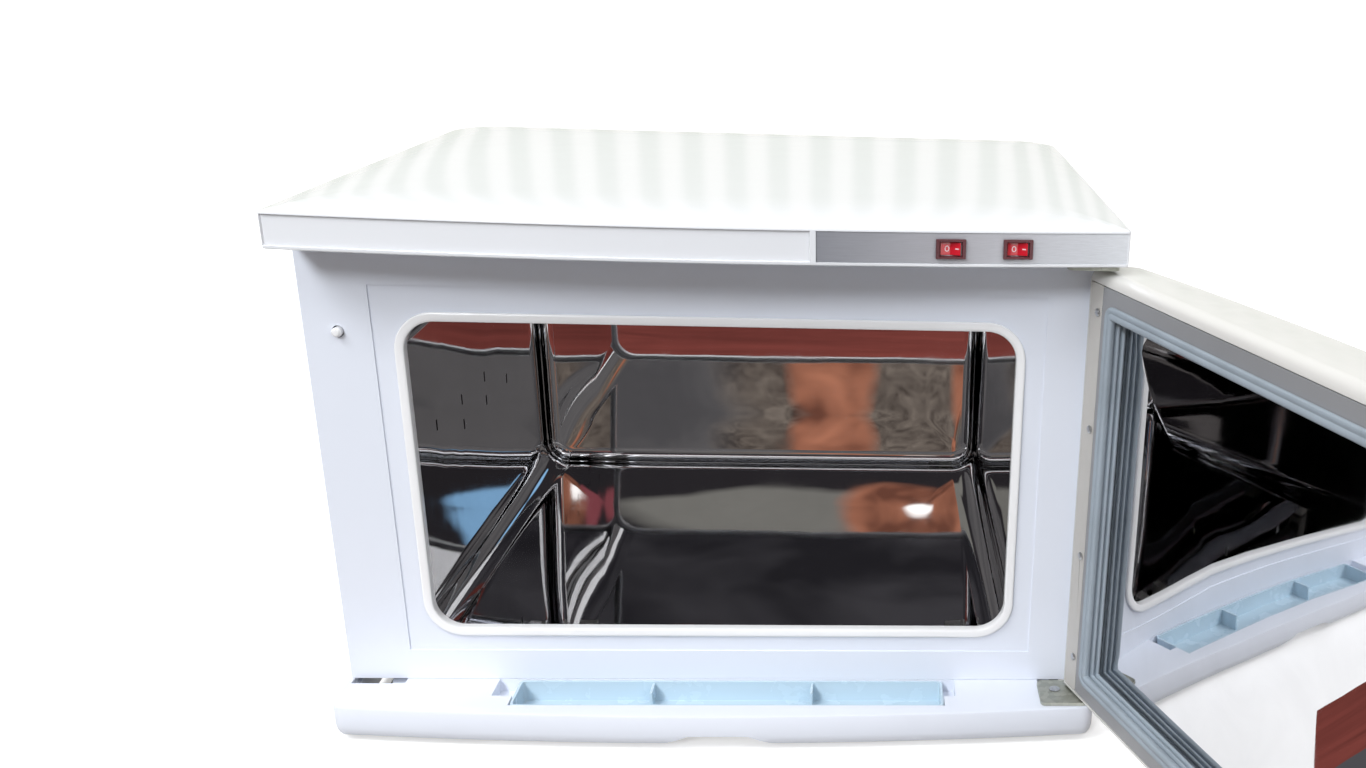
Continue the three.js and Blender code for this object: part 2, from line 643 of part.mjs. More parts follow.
function doorSwitchBody() {
  const { x, z, radius } = DOOR_SWITCH;
  const block = box(x - 9, x + 9, PLASTIC + GAP, 27, z - 12, z + 12);
  return cut(block, rod(Y_AXIS, [x, 0, z], radius + 0.4, 0, 21));
}

function doorSwitchPlunger() {
  const { x, z, radius, reach } = DOOR_SWITCH;
  const profile = [[0, -reach], [radius * 0.6, -reach + 0.3], [radius, -reach + 1.4]];
  profile.push([radius, 15], [0, 15]);
  return turnedAlong(Y_AXIS, [x, 0, z], profile, 16);
}

function wiringGroup() {
  const group = new THREE.Group();
  group.add(piece('uv_ballast', toGeometry(ballast()), 'steel'));
  group.add(piece('starter_holder', toGeometry(starterHolder()), 'ceramic'));
  group.add(piece('starter', toGeometry(rod(X_AXIS, [34.4, 79, 285], 10.4, 0, 33, 18)), 'white'));
  group.add(piece('terminal_block', toGeometry(terminalBlock()), 'ceramic'));
  group.add(piece('power_inlet', toGeometry(powerInlet()), 'black'));
  for (const pin of INLET_PINS) {
    group.add(piece(pin.name, toGeometry(inletPin(pin)), 'brass'));
  }
  group.add(piece('door_switch_body', toGeometry(doorSwitchBody()), 'black'));
  group.add(piece('door_switch_plunger', toGeometry(doorSwitchPlunger()), 'white'));
  return group;
}

// ---------------------------------------------------------------- top cover and controls

function frontSlice([x0, x1], bottom, top) {
  return box(x0, x1, -80, -15, bottom, top);
}

function topCover() {
  const crown = [[BODY_TOP, 0.8], [294, 0], [312.3, 0], [COVER_CREASE, 0.7], [313.6, 3]];
  crown.push([314.6, 8], [315.7, 16], [316.6, 28], [317.4, 48], [317.8, 75]);
  const shell = stacked(COVER_PLAN, crown);
  const ceiling = [[BODY_TOP + 2.6, PLASTIC + 0.6], [309, PLASTIC + 0.6]];
  ceiling.push([311.5, 14], [313.4, 34], [314.4, 70]);
  const room = stacked(COVER_PLAN, ceiling);
  const below = cut(
    stacked(COVER_PLAN, [[BODY_TOP - 2, PLASTIC + 0.6], [BODY_TOP + 3, PLASTIC + 0.6]]),
    box(-300, 300, -100, PLASTIC + GAP, 200, 400),
  );
  const skinDepth = stacked(COVER_PLAN, [[280, FIELD.depth], [330, FIELD.depth]]);
  const fields = [LEFT_FIELD, RIGHT_FIELD].map((field) => (
    cut(frontSlice(field, FIELD.bottom, FIELD.top), skinDepth)
  ));
  const housings = SWITCH.x.map((x) => switchPlaced(x, switchBlock(...SWITCH_ROOM, 12, -30)));
  const screwHole = rod(Z_AXIS, [HINGE_SCREW.x, HINGE_SCREW.y, 0], 1.8, 290, 300, 10);
  return cut(shell, room, below, ...fields, ...housings, screwHole);
}

// A block about a switch's own middle: half width, half height, and how far it stands
// out of the fascia and back into it.
function switchBlock(halfWidth, halfHeight, out, back) {
  return box(-halfWidth, halfWidth, -out, -back, -halfHeight, halfHeight);
}

// The fascia's front at x, and the turn that faces a switch along the bow there.
function fasciaAt(x) {
  const bow = COVER_FRONT_END - COVER_FRONT_MIDDLE;
  const y = COVER_FRONT_MIDDLE + bow * (x / COVER_HALF_WIDTH) ** 2 + 0.4;
  const turn = Math.atan((2 * bow * x) / COVER_HALF_WIDTH ** 2);
  return { y, turn };
}

function switchPlaced(x, solid) {
  const { y, turn } = fasciaAt(x);
  const degrees = THREE.MathUtils.radToDeg(turn);
  return solid.rotate([0, 0, degrees]).translate([x, y, SWITCH.z]);
}

function controlOverlay() {
  const [left, right] = RIGHT_FIELD;
  const slice = frontSlice([left + GAP, right - GAP], FIELD.bottom + GAP, FIELD.top - GAP);
  const band = cut(
    stacked(COVER_PLAN, [[280, 0.4], [330, 0.4]]).intersect(slice),
    stacked(COVER_PLAN, [[280, FIELD.depth - GAP], [330, FIELD.depth - GAP]]),
  );
  return cut(band, ...SWITCH.x.map((x) => switchPlaced(x, switchBlock(...SWITCH_ROOM, 12, -12))));
}

function switchBezel() {
  const [halfWidth, halfHeight] = [SWITCH.width / 2, SWITCH.height / 2];
  const flange = switchBlock(halfWidth, halfHeight, 1.9, -0.4 + 0.8);
  const body = switchBlock(6.5, 4.3, 0.5, -17);
  const room = switchBlock(5.9, 3.8, 4, -11);
  return cut(join(flange, body), room);
}

// A rocker's plan outline: two shallow faces meeting in a valley over its pivot.
function rocker() {
  const outline = [[-5.4, -1.9], [0, -0.8], [5.4, -1.9], [5.4, 0.6], [2, 5], [-2, 5], [-5.4, 0.6]];
  const shape = new THREE.Shape(outline.map(([x, y]) => new THREE.Vector2(x, y)));
  return standing(shape, -3.5, 3.5);
}

function coverGroup() {
  const group = new THREE.Group();
  group.add(piece('top_cover', toGeometry(topCover()), 'glossWhite'));
  group.add(piece('control_overlay', toGeometry(controlOverlay()), 'silver'));
  ['heat', 'uv'].forEach((name, i) => {
    const x = SWITCH.x[i];
    const { y, turn } = fasciaAt(x);
    const station = new THREE.Group();
    station.position.set(x, y, SWITCH.z);
    station.rotation.z = turn;
    station.add(piece(`switch_bezel_${name}`, toGeometry(switchBezel()), 'bezelRed'));
    const button = piece(`rocker_${name}`, toGeometry(rocker()), 'rockerRed');
    button.position.y = ROCKER_PIVOT_DEPTH;
    button.rotation.z = -ROCKER_TILT;
    station.add(button);
    group.add(station);
  });
  return group;
}

// ---------------------------------------------------------------- hinges

// A hinge plate and its pin; up is +1 for the lower hinge and -1 for the upper one.
function hingePlate(z, up) {
  const { outline, thickness } = HINGE_PLATE;
  const [z0, z1] = up > 0 ? [z, z + thickness] : [z - thickness, z];
  const plate = standing(roundedRectangle(...outline, 3), z0, z1, 3);
  const pinEnd = up > 0 ? z1 + HINGE_PIN.length : z0 - HINGE_PIN.length;
  const [low, high] = up > 0 ? [z1 - 1, pinEnd] : [pinEnd, z0 + 1];
  const pin = rod(Z_AXIS, [HINGE_X, HINGE_Y, 0], HINGE_PIN.radius, low, high, 16);
  const hole = rod(Z_AXIS, [HINGE_SCREW.x, HINGE_SCREW.y, 0], 1.9, z0 - 1, z1 + 1, 10);
  return cut(join(plate, pin), hole);
}

// The lower plate has a tab at its rear that hooks down through the slot in the base's deck.
function lowerHingePlate() {
  const { outline, thickness, tab, tabDepth } = HINGE_PLATE;
  const rear = outline[3];
  const hook = box(tab[0], tab[1], rear - STEEL, rear, LOWER_PLATE_Z - tabDepth, LOWER_PLATE_Z + thickness / 2);
  return join(hingePlate(LOWER_PLATE_Z, 1), hook);
}

// A screw with a shallow domed head that clears the surface it holds by the usual gap.
function panScrew(axis, place, head, shank) {
  const profile = [[0, -shank.length], [shank.radius, -shank.length], [shank.radius, GAP]];
  profile.push([head.radius, GAP], [head.radius, head.height * 0.6]);
  profile.push([head.radius * 0.7, head.height], [0, head.height]);
  return turnedAlong(axis, place, profile, 14);
}

function hingeGroup() {
  const group = new THREE.Group();
  const shank = { radius: 1.4, length: 9 };
  const lower = [HINGE_SCREW.x, HINGE_SCREW.y, LOWER_PLATE_Z + HINGE_PLATE.thickness];
  const upper = [HINGE_SCREW.x, HINGE_SCREW.y, UPPER_PLATE_Z - HINGE_PLATE.thickness];
  const lowerScrew = panScrew(Z_AXIS, lower, { radius: 3.4, height: 0.7 }, shank);
  const upperScrew = panScrew(Z_AXIS.clone().negate(), upper, { radius: 3.4, height: 1.6 }, shank);
  group.add(piece('lower_hinge_plate', toGeometry(lowerHingePlate()), 'galvanised'));
  group.add(piece('upper_hinge_plate', toGeometry(hingePlate(UPPER_PLATE_Z, -1)), 'galvanised'));
  group.add(piece('lower_hinge_screw', toGeometry(lowerScrew), 'steel'));
  group.add(piece('upper_hinge_screw', toGeometry(upperScrew), 'steel'));
  return group;
}

// ---------------------------------------------------------------- door, drawn closed

function hingeBush(z0) {
  const { inner, outer, length } = BUSH;
  const profile = [[inner, z0], [outer, z0], [outer, z0 + length], [inner, z0 + length], [inner, z0]];
  return turnedAlong(Z_AXIS, [HINGE_X, HINGE_Y, 0], profile, 16);
}

function doorShell() {
  const { bottom, top, wall, roof, back } = DOOR;
  const levels = [[bottom, 1.4], [28.2, 0.4], [29.4, 0], [282, 0]];
  levels.push([284.6, 0.5], [286.6, 1.8], [287.9, 3.8], [top, 6]);
  const outer = stacked(DOOR_PLAN, levels);
  const deep = { ...DOOR_PLAN, rear: 10 };
  const room = stacked(deep, [[bottom + wall, wall], [top - roof, wall]]);
  const bosses = [bottom + wall - 1, top - roof - BUSH.length].map((z) => (
    rod(Z_AXIS, [HINGE_X, HINGE_Y, 0], 4.7, z, z + BUSH.length + 1)
  ));
  const edge = -DOOR.halfWidth;
  const grip = box(edge - 2, edge + GRIP.depth, DOOR_FRONT_END + 3, back - 8, GRIP.bottom, GRIP.top);
  const gripWall = box(
    edge, edge + GRIP.depth + GRIP.wall, DOOR_FRONT_MIDDLE - 5, back - 3.2,
    GRIP.bottom - GRIP.wall, GRIP.top + GRIP.wall,
  );
  const bores = [bottom, top - BUSH.length - 4].map((z) => (
    rod(Z_AXIS, [HINGE_X, HINGE_Y, 0], BUSH.outer + GAP, z - 2, z + BUSH.length + 6)
  ));
  return cut(outer, cut(room, ...bosses, gripWall), grip, ...bores);
}

// The plain frame that the gasket is pressed over; it stops at the hinge strip.
function doorFrame() {
  const { halfWidth, bottom, top, thickness } = DOOR_FRAME;
  const outer = [-halfWidth, HINGE_STRIP_LEFT - GAP, bottom, top, 2];
  return facing(frameShape(outer, gasketHole(0.4)), DOOR.back - thickness, DOOR.back, 2);
}

function hingeStrip() {
  const { halfWidth, bottom, top, thickness } = DOOR_FRAME;
  const shape = roundedRectangle(HINGE_STRIP_LEFT, halfWidth, bottom, top, 1.5);
  const holes = STRIP_SCREW_Z.map((z) => rod(Y_AXIS, [STRIP_SCREW_X, 0, z], 1.5, -8, 0, 10));
  return cut(facing(shape, DOOR.back - thickness, DOOR.back, 2), ...holes);
}

// The hole that the gasket's fluted wall lines, grown by a margin.
function gasketHole(margin) {
  const half = GASKET.halfWidth + margin;
  return [-half, half, GASKET.bottom - margin, GASKET.top + margin, 3 + margin];
}

// The gasket's section as [inset from its fluted wall, depth] points: a flat lip that
// seals on the body, and a wall with two ridges between it and the mirror.
function gasketSection() {
  const { back } = DOOR;
  const section = [[-GASKET.lip, back + 0.35], [-GASKET.lip, back + 2.2], [2.6, back + 2.2], [3, back - 1]];
  for (const depth of [1.6, 5.1]) {
    section.push([1, back - depth], [1, back - depth - 1.2], [3, back - depth - 1.8], [3, back - depth - 2.9]);
  }
  section.push([1, back - MIRROR_DEPTH + 0.9], [1, back - MIRROR_DEPTH], [0, back - MIRROR_DEPTH]);
  section.push([0, back + 0.35]);
  return section;
}

function doorGasket() {
  const [left, right, bottom, top] = gasketHole(0);
  const section = gasketSection();
  const ring = ([inset, y]) => {
    const radius = Math.max(3 - inset, 0.5);
    const outline = roundedRectangle(left + inset, right - inset, bottom + inset, top - inset, radius);
    const points = outline.getPoints(3).map((point) => new THREE.Vector3(point.x, y, point.y));
    if (points[0].distanceTo(points.at(-1)) < 0.01) points.pop();
    return points;
  };
  const rings = section.map(ring);
  const count = rings[0].length;
  const index = [];
  rings.forEach((_, r) => {
    const following = (r + 1) % rings.length;
    for (let i = 0; i < count; i += 1) {
      const next = (i + 1) % count;
      const [a, b] = [r * count + i, r * count + next];
      const [c, d] = [following * count + next, following * count + i];
      index.push(a, c, b, a, d, c);
    }
  });
  const geometry = new THREE.BufferGeometry();
  const positions = rings.flat().flatMap((point) => point.toArray());
  geometry.setAttribute('position', new THREE.Float32BufferAttribute(positions, 3));
  geometry.setIndex(index);
  return toSolid(geometry);
}

function doorGroup() {
  const group = new THREE.Group();
  const mirrorFace = DOOR.back - MIRROR_DEPTH - GAP;
  const [left, right, bottom, top] = gasketHole(4);
  const mirror = facing(roundedRectangle(left, right, bottom, top, 3), mirrorFace - STEEL, mirrorFace, 3);
  const foam = box(-196, 196, -30.5, mirrorFace - STEEL - 0.4, 40, 274);
  group.add(piece('door_outer_shell', toGeometry(doorShell()), 'cream'));
  group.add(piece('door_inner_frame', toGeometry(doorFrame()), 'frameGrey'));
  group.add(piece('door_hinge_strip', toGeometry(hingeStrip()), 'strip'));
  group.add(piece('door_gasket', toGeometry(doorGasket()), 'gasket'));
  group.add(piece('door_mirror_panel', toGeometry(mirror), 'mirror'));
  group.add(piece('door_insulation', toGeometry(foam), 'foam'));
  STRIP_SCREW_Z.forEach((z, i) => {
    const place = [STRIP_SCREW_X, DOOR.back, z];
    const screw = panScrew(Y_AXIS, place, { radius: 2.3, height: 1.3 }, { radius: 1.1, length: 6 });
    group.add(piece(`door_strip_screw_${i + 1}`, toGeometry(screw), 'steel'));
  });
  group.add(piece('lower_hinge_bush', toGeometry(hingeBush(DOOR.bottom + 0.2)), 'white'));
  group.add(piece('upper_hinge_bush', toGeometry(hingeBush(DOOR.top - BUSH.length - 0.4)), 'white'));
  group.position.set(-HINGE_X, -HINGE_Y, 0);
  const hinge = new THREE.Group();
  hinge.add(group);
  hinge.position.set(HINGE_X, HINGE_Y, 0);
  hinge.rotation.z = DOOR_OPEN_ANGLE;
  return hinge;
}

// ---------------------------------------------------------------- assembly

function casingGroup() {
  const group = new THREE.Group();
  group.add(piece('front_frame', toGeometry(frontFrame()), 'white'));
  group.add(piece('opening_trim', toGeometry(openingTrim()), 'glossWhite'));
  group.add(piece('left_side_panel', toGeometry(sidePanel(-1)), 'white'));
  group.add(piece('right_side_panel', toGeometry(sidePanel(1)), 'white'));
  group.add(piece('rear_panel', toGeometry(rearPanel()), 'white'));
  return group;
}

const cabinet = new THREE.Group();
cabinet.name = 'hot_towel_cabinet';
cabinet.add(baseGroup(), casingGroup(), tankGroup(), lampGroup(), wiringGroup());
cabinet.add(coverGroup(), hingeGroup(), doorGroup());
cabinet.add(piece('drip_tray', toGeometry(dripTray()), 'paleBlue'));

// The origin is the middle of the space the open cabinet takes up, on the table.
const extent = new THREE.Box3().setFromObject(cabinet, true);
const middle = extent.getCenter(new THREE.Vector3());
cabinet.position.set(-middle.x, -middle.y, -extent.min.z);

export default cabinet;
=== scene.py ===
"""The looks of a bench-top hot towel cabinet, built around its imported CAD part."""

import json
import math

import bmesh
import bpy
from mathutils import Matrix, Vector


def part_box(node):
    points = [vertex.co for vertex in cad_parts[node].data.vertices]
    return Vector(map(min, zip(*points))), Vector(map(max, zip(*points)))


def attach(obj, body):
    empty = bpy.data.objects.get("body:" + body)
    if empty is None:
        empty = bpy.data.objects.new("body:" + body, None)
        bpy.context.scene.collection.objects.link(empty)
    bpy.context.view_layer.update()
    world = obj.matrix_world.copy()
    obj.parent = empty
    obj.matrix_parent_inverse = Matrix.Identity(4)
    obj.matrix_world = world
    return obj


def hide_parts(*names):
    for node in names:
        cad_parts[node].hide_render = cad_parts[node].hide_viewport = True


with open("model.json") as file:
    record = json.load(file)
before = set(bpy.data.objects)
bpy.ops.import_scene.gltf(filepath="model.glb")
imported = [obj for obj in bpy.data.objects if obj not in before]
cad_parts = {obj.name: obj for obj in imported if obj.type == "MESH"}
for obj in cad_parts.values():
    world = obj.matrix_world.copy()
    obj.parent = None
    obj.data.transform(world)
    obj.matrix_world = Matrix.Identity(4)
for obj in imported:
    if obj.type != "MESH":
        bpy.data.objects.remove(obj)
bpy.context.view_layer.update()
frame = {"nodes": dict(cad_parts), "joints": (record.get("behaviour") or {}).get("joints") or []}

MM = 0.001
NODES = frame["nodes"]
CORNER = math.pi / 2
ARC_STEPS = 12

# The pieces are drawn in millimetres from the middle of the cabinet's front face, on the
# table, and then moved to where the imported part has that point.
_low, _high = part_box("front_frame")
HOME = Vector(((_low.x + _high.x) / 2, _low.y, 0))


def place(x, y, z):
    """A point of the cabinet's own millimetres in the row frame."""
    return HOME + Vector((x, y, z)) * MM


# ---------------------------------------------------------------- the door's swing

hinge = next(j for j in frame["joints"] if j["name"] == "door_hinge")
HINGE_AT = Vector(hinge["pos_m"])
OPEN_ANGLE = math.radians(110)
SWING = (
    Matrix.Translation(HINGE_AT)
    @ Matrix.Rotation(OPEN_ANGLE, 4, "Z")
    @ Matrix.Translation(-HINGE_AT)
)


# ---------------------------------------------------------------- mesh building


def make_object(name, vertices, faces, smooth_angle=30):
    """An object from points in the cabinet's millimetres, its sharp edges kept sharp."""
    mesh = bpy.data.meshes.new(name)
    mesh.from_pydata([place(*v) for v in vertices], [], faces)
    mesh.validate()
    obj = bpy.data.objects.new(name, mesh)
    bpy.context.collection.objects.link(obj)
    smooth(obj, smooth_angle)
    return obj


def smooth(obj, angle):
    obj.data.shade_smooth()
    obj.data.set_sharp_from_angle(angle=math.radians(angle))


def bridge(count, ring_a, ring_b):
    """The faces between two rings of equal counts, given the index of each one's first point."""
    faces = []
    for i in range(count):
        j = (i + 1) % count
        faces.append((ring_a + i, ring_a + j, ring_b + j, ring_b + i))
    return faces


def lofted(name, rings, close=False, smooth_angle=30):
    """Rings of points skinned in order, and either capped or closed on themselves."""
    count = len(rings[0])
    vertices = [point for ring in rings for point in ring]
    faces = []
    for r in range(len(rings) - 1):
        faces += bridge(count, r * count, (r + 1) * count)
    last = (len(rings) - 1) * count
    if close:
        faces += bridge(count, last, 0)
    else:
        faces.append(tuple(range(count - 1, -1, -1)))
        faces.append(tuple(range(last, last + count)))
    obj = make_object(name, vertices, faces, smooth_angle)
    recalculate_normals(obj)
    return obj


def recalculate_normals(obj):
    """Points every face of a closed mesh outwards."""
    bm = bmesh.new()
    bm.from_mesh(obj.data)
    bmesh.ops.recalc_face_normals(bm, faces=bm.faces)
    bm.to_mesh(obj.data)
    bm.free()


def bevel(obj, width, segments=2, angle=35):
    """Rounds a piece's sharp edges by a width in millimetres."""
    edge = obj.modifiers.new("edge_radius", "BEVEL")
    edge.width = width * MM
    edge.segments = segments
    edge.limit_method = "ANGLE"
    edge.angle_limit = math.radians(angle)
    edge.harden_normals = True
    edge.use_clamp_overlap = True
    return edge


def rounded_outline(left, right, bottom, top, radius, steps):
    """The points of a rounded rectangle, anticlockwise from the lower right corner."""
    points = []
    corners = [(right - radius, bottom + radius, -CORNER), (right - radius, top - radius, 0)]
    corners += [(left + radius, top - radius, CORNER), (left + radius, bottom + radius, 2 * CORNER)]
    for x, z, start in corners:
        for step in range(steps + 1):
            angle = start + CORNER * step / steps
            points.append((x + radius * math.cos(angle), z + radius * math.sin(angle)))
    return points


def block(x0, x1, y0, y1, z0, z1):
    """A plain cutter between two corners."""
    rings = [[(x0, y0, z), (x1, y0, z), (x1, y1, z), (x0, y1, z)] for z in (z0, z1)]
    return lofted("cutter", rings)


def upright_rod(x, y, radius, z0, z1, sides=32):
    """A round cutter standing on the point x, y."""
    rings = []
    for z in (z0, z1):
        turns = [2 * math.pi * s / sides for s in range(sides)]
        rings.append([(x + radius * math.cos(t), y + radius * math.sin(t), z) for t in turns])
    return lofted("cutter", rings)


def carve(obj, *cutters):
    """Takes the cutters' volumes out of a piece and removes the cutters."""
    for cutter in cutters:
        step = obj.modifiers.new("carve", "BOOLEAN")
        step.operation, step.solver, step.object = "DIFFERENCE", "EXACT", cutter
        evaluated = obj.evaluated_get(bpy.context.evaluated_depsgraph_get())
        mesh = bpy.data.meshes.new_from_object(evaluated)
        obj.modifiers.clear()
        obj.data = mesh
        bpy.data.objects.remove(cutter)
    return obj


class Plan:
    """A plan outline whose front edge bows forward in its middle."""

    def __init__(self, half, rear, front_end, front_middle, front_radius, rear_radius):
        self.half, self.rear = half, rear
        self.front_end, self.front_middle = front_end, front_middle
        self.front_radius, self.rear_radius = front_radius, rear_radius

    def front_at(self, x, inset=0):
        bow = (self.front_end - self.front_middle) * (x / self.half) ** 2
        return self.front_middle + bow + inset

    def outline(self, inset, bow, corner_angles=None, soften=0):
        """The outline drawn smaller by the inset. bow lists the places along the front, 0 to 1;
        soften makes the inner outlines' corners rounder than the outer one's."""
        half, rear = self.half - inset, self.rear - inset
        grown = soften * max(inset - 3, 0)
        front_radius = max(self.front_radius - inset, 1) + grown
        rear_radius = max(self.rear_radius - inset, 1) + grown
        flat = half - front_radius
        even = [step / ARC_STEPS for step in range(ARC_STEPS + 1)]
        front_angles = corner_angles or even
        points = []

        def corner(x, y, radius, start, fractions):
            for part in fractions:
                angle = start + CORNER * part
                points.append((x + radius * math.cos(angle), y + radius * math.sin(angle)))

        front_y = self.front_at(flat, inset) + front_radius
        corner(-flat, front_y, front_radius, 2 * CORNER, front_angles)
        for share in bow:
            x = -flat + 2 * flat * share
            points.append((x, self.front_at(x, inset)))
        mirrored = [1 - part for part in reversed(front_angles)]
        corner(flat, front_y, front_radius, -CORNER, mirrored)
        corner(half - rear_radius, rear - rear_radius, rear_radius, 0, even)
        corner(rear_radius - half, rear - rear_radius, rear_radius, CORNER, even)
        return points


def even_bow(count):
    """Evenly spaced places along a front edge, 0 to 1, without its two ends."""
    return [step / count for step in range(1, count)]


def dress(obj, material, body=None, replaces=()):
    """Gives a piece its material and its body, and hides the nodes it stands for."""
    obj.data.materials.clear()
    obj.data.materials.append(material)
    if body:
        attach(obj, body)
    if replaces:
        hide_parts(*replaces)
    return obj


# ---------------------------------------------------------------- material nodes


def darker(colour, share):
    """The colour at a share of its brightness."""
    return tuple(channel * share for channel in colour)


class Nodes:
    """A material's node tree, with short calls for the nodes that the looks below use."""

    def __init__(self, name):
        self.material = bpy.data.materials.new(name)
        self.material.use_nodes = True
        self.tree = self.material.node_tree
        self.shader = self.tree.nodes["Principled BSDF"]
        self.place = self.tree.nodes.new("ShaderNodeTexCoord").outputs["Object"]

    def set(self, **sockets):
        for name, value in sockets.items():
            self.shader.inputs[name.replace("_", " ")].default_value = value
        return self

    def link(self, output, socket):
        self.tree.links.new(output, self.shader.inputs[socket])
        return self

    def stretched(self, x=1, y=1, z=1):
        node = self.tree.nodes.new("ShaderNodeMapping")
        node.inputs["Scale"].default_value = (x, y, z)
        self.tree.links.new(self.place, node.inputs["Vector"])
        return node.outputs["Vector"]

    def noise(self, scale, detail=3, roughness=0.5, vector=None, distortion=0):
        node = self.tree.nodes.new("ShaderNodeTexNoise")
        node.inputs["Scale"].default_value = scale
        node.inputs["Detail"].default_value = detail
        node.inputs["Roughness"].default_value = roughness
        node.inputs["Distortion"].default_value = distortion
        self.tree.links.new(vector or self.place, node.inputs["Vector"])
        return node.outputs["Fac"]

    def voronoi(self, scale):
        node = self.tree.nodes.new("ShaderNodeTexVoronoi")
        node.inputs["Scale"].default_value = scale
        self.tree.links.new(self.place, node.inputs["Vector"])
        return node.outputs["Color"]

    def ramp(self, value, stops):
        """A colour ramp; the stops are pairs of a position and a colour."""
        node = self.tree.nodes.new("ShaderNodeValToRGB")
        elements = node.color_ramp.elements
        while len(elements) < len(stops):
            elements.new(1)
        for element, (position, colour) in zip(elements, stops):
            element.position = position
            element.color = (*colour, 1)
        self.tree.links.new(value, node.inputs["Fac"])
        return node.outputs["Color"]

    def remap(self, value, low, high, start=0, end=1):
        """Brings a value from the range start to end into the range low to high."""
        node = self.tree.nodes.new("ShaderNodeMapRange")
        node.inputs["From Min"].default_value = start
        node.inputs["From Max"].default_value = end
        node.inputs["To Min"].default_value = low
        node.inputs["To Max"].default_value = high
        self.tree.links.new(value, node.inputs["Value"])
        return node.outputs["Result"]

    def math(self, operation, a, b=None):
        node = self.tree.nodes.new("ShaderNodeMath")
        node.operation = operation
        for socket, value in zip(node.inputs, (a, b)):
            if value is None:
                continue
            if isinstance(value, (int, float)):
                socket.default_value = value
            else:
                self.tree.links.new(value, socket)
        return node.outputs["Value"]

    def axis(self, name):
        """One coordinate of the shaded point, in the piece's own metres."""
        node = self.tree.nodes.new("ShaderNodeSeparateXYZ")
        self.tree.links.new(self.place, node.inputs["Vector"])
        return node.outputs[name]

    def mix(self, share, a, b, blend="MIX"):
        node = self.tree.nodes.new("ShaderNodeMix")
        node.data_type = "RGBA"
        node.blend_type = blend
        sockets = {s.identifier: s for s in node.inputs}
        for key, value in (("Factor_Float", share), ("A_Color", a), ("B_Color", b)):
            socket = sockets[key]
            if isinstance(value, (int, float)):
                socket.default_value = value
            elif isinstance(value, tuple):
                socket.default_value = (*value, 1)
            else:
                self.tree.links.new(value, socket)
        return next(s for s in node.outputs if s.identifier == "Result_Color")

    def bump(self, height, strength, distance, below=None):
        """A bumped normal, its distance in millimetres, over another bump if there is one."""
        node = self.tree.nodes.new("ShaderNodeBump")
        node.inputs["Strength"].default_value = strength
        node.inputs["Distance"].default_value = distance * MM
        self.tree.links.new(height, node.inputs["Height"])
        if below:
            self.tree.links.new(below, node.inputs["Normal"])
        return node.outputs["Normal"]


def moulded(name, colour, roughness, tint=0.02, grain=0.02, coat=0.0, wave=0.0):
    """Moulded plastic: a faint cloudy tint, fine moulding texture and slow sink marks."""
    n = Nodes(name)
    clouds = n.ramp(n.noise(9, 4), [(0.35, darker(colour, 1 - tint)), (0.65, colour)])
    n.link(clouds, "Base Color")
    n.link(n.remap(n.noise(60, 5), roughness * 0.8, roughness * 1.25, 0.3, 0.7), "Roughness")
    normal = n.bump(n.noise(900, 2), grain, 0.05)
    if wave:
        normal = n.bump(n.noise(7, 1), wave, 4, below=normal)
    n.link(normal, "Normal")
    n.set(Coat_Weight=coat, Coat_Roughness=0.04)
    return n.material


def painted(name, colour, roughness):
    """Powder paint on sheet steel, with a fine orange peel."""
    n = Nodes(name)
    clouds = n.ramp(n.noise(6, 3), [(0.3, darker(colour, 0.975)), (0.7, colour)])
    n.link(clouds, "Base Color")
    n.link(n.remap(n.noise(45, 4), roughness * 0.85, roughness * 1.2, 0.3, 0.7), "Roughness")
    n.link(n.bump(n.noise(420, 2), 0.12, 0.06), "Normal")
    return n.material


def sheet_metal(name, colour, roughness, brushed=(1, 1, 1)):
    """Bare metal with brushing or a mill finish along its long axis."""
    n = Nodes(name)
    streaks = n.noise(300, 4, 0.6, n.stretched(*brushed))
    n.link(n.ramp(streaks, [(0.3, darker(colour, 0.88)), (0.7, colour)]), "Base Color")
    n.link(n.remap(streaks, roughness * 0.7, roughness * 1.3, 0.3, 0.7), "Roughness")
    n.link(n.bump(streaks, 0.02, 0.05), "Normal")
    n.set(Metallic=1.0)
    return n.material


def mirror_steel(name, colour, wave):
    """Mirror-polished sheet: slow waves from the pressing, and faint smears."""
    n = Nodes(name)
    smears = n.noise(22, 6, 0.6, distortion=0.6)
    n.link(n.ramp(smears, [(0.35, darker(colour, 0.94)), (0.7, colour)]), "Base Color")
    n.link(n.remap(smears, 0.015, 0.05, 0.45, 0.75), "Roughness")
    slow = n.bump(n.noise(6.5, 1), wave, 6)
    n.link(n.bump(n.noise(26, 1), wave * 0.3, 1.2, below=slow), "Normal")
    n.set(Metallic=1.0)
    return n.material


def galvanised():
    """Zinc-coated steel with its spangle."""
    n = Nodes("galvanised_steel")
    spangle = n.voronoi(330)
    n.link(n.ramp(spangle, [(0.1, (0.36, 0.37, 0.32)), (0.9, (0.52, 0.53, 0.47))]), "Base Color")
    n.link(n.remap(spangle, 0.38, 0.62), "Roughness")
    n.link(n.bump(n.noise(500, 3), 0.15, 0.05), "Normal")
    n.set(Metallic=0.85)
    return n.material


def rubber(name, colour, roughness, grain=0.15):
    """Matt rubber with a patchy bloom."""
    n = Nodes(name)
    bloom = n.ramp(n.noise(30, 4), [(0.3, darker(colour, 0.85)), (0.7, colour)])
    n.link(bloom, "Base Color")
    n.link(n.remap(n.noise(90, 4), roughness * 0.85, roughness * 1.2, 0.3, 0.7), "Roughness")
    n.link(n.bump(n.noise(1400, 2), grain, 0.05), "Normal")
    n.set(Specular_IOR_Level=0.35)
    return n.material


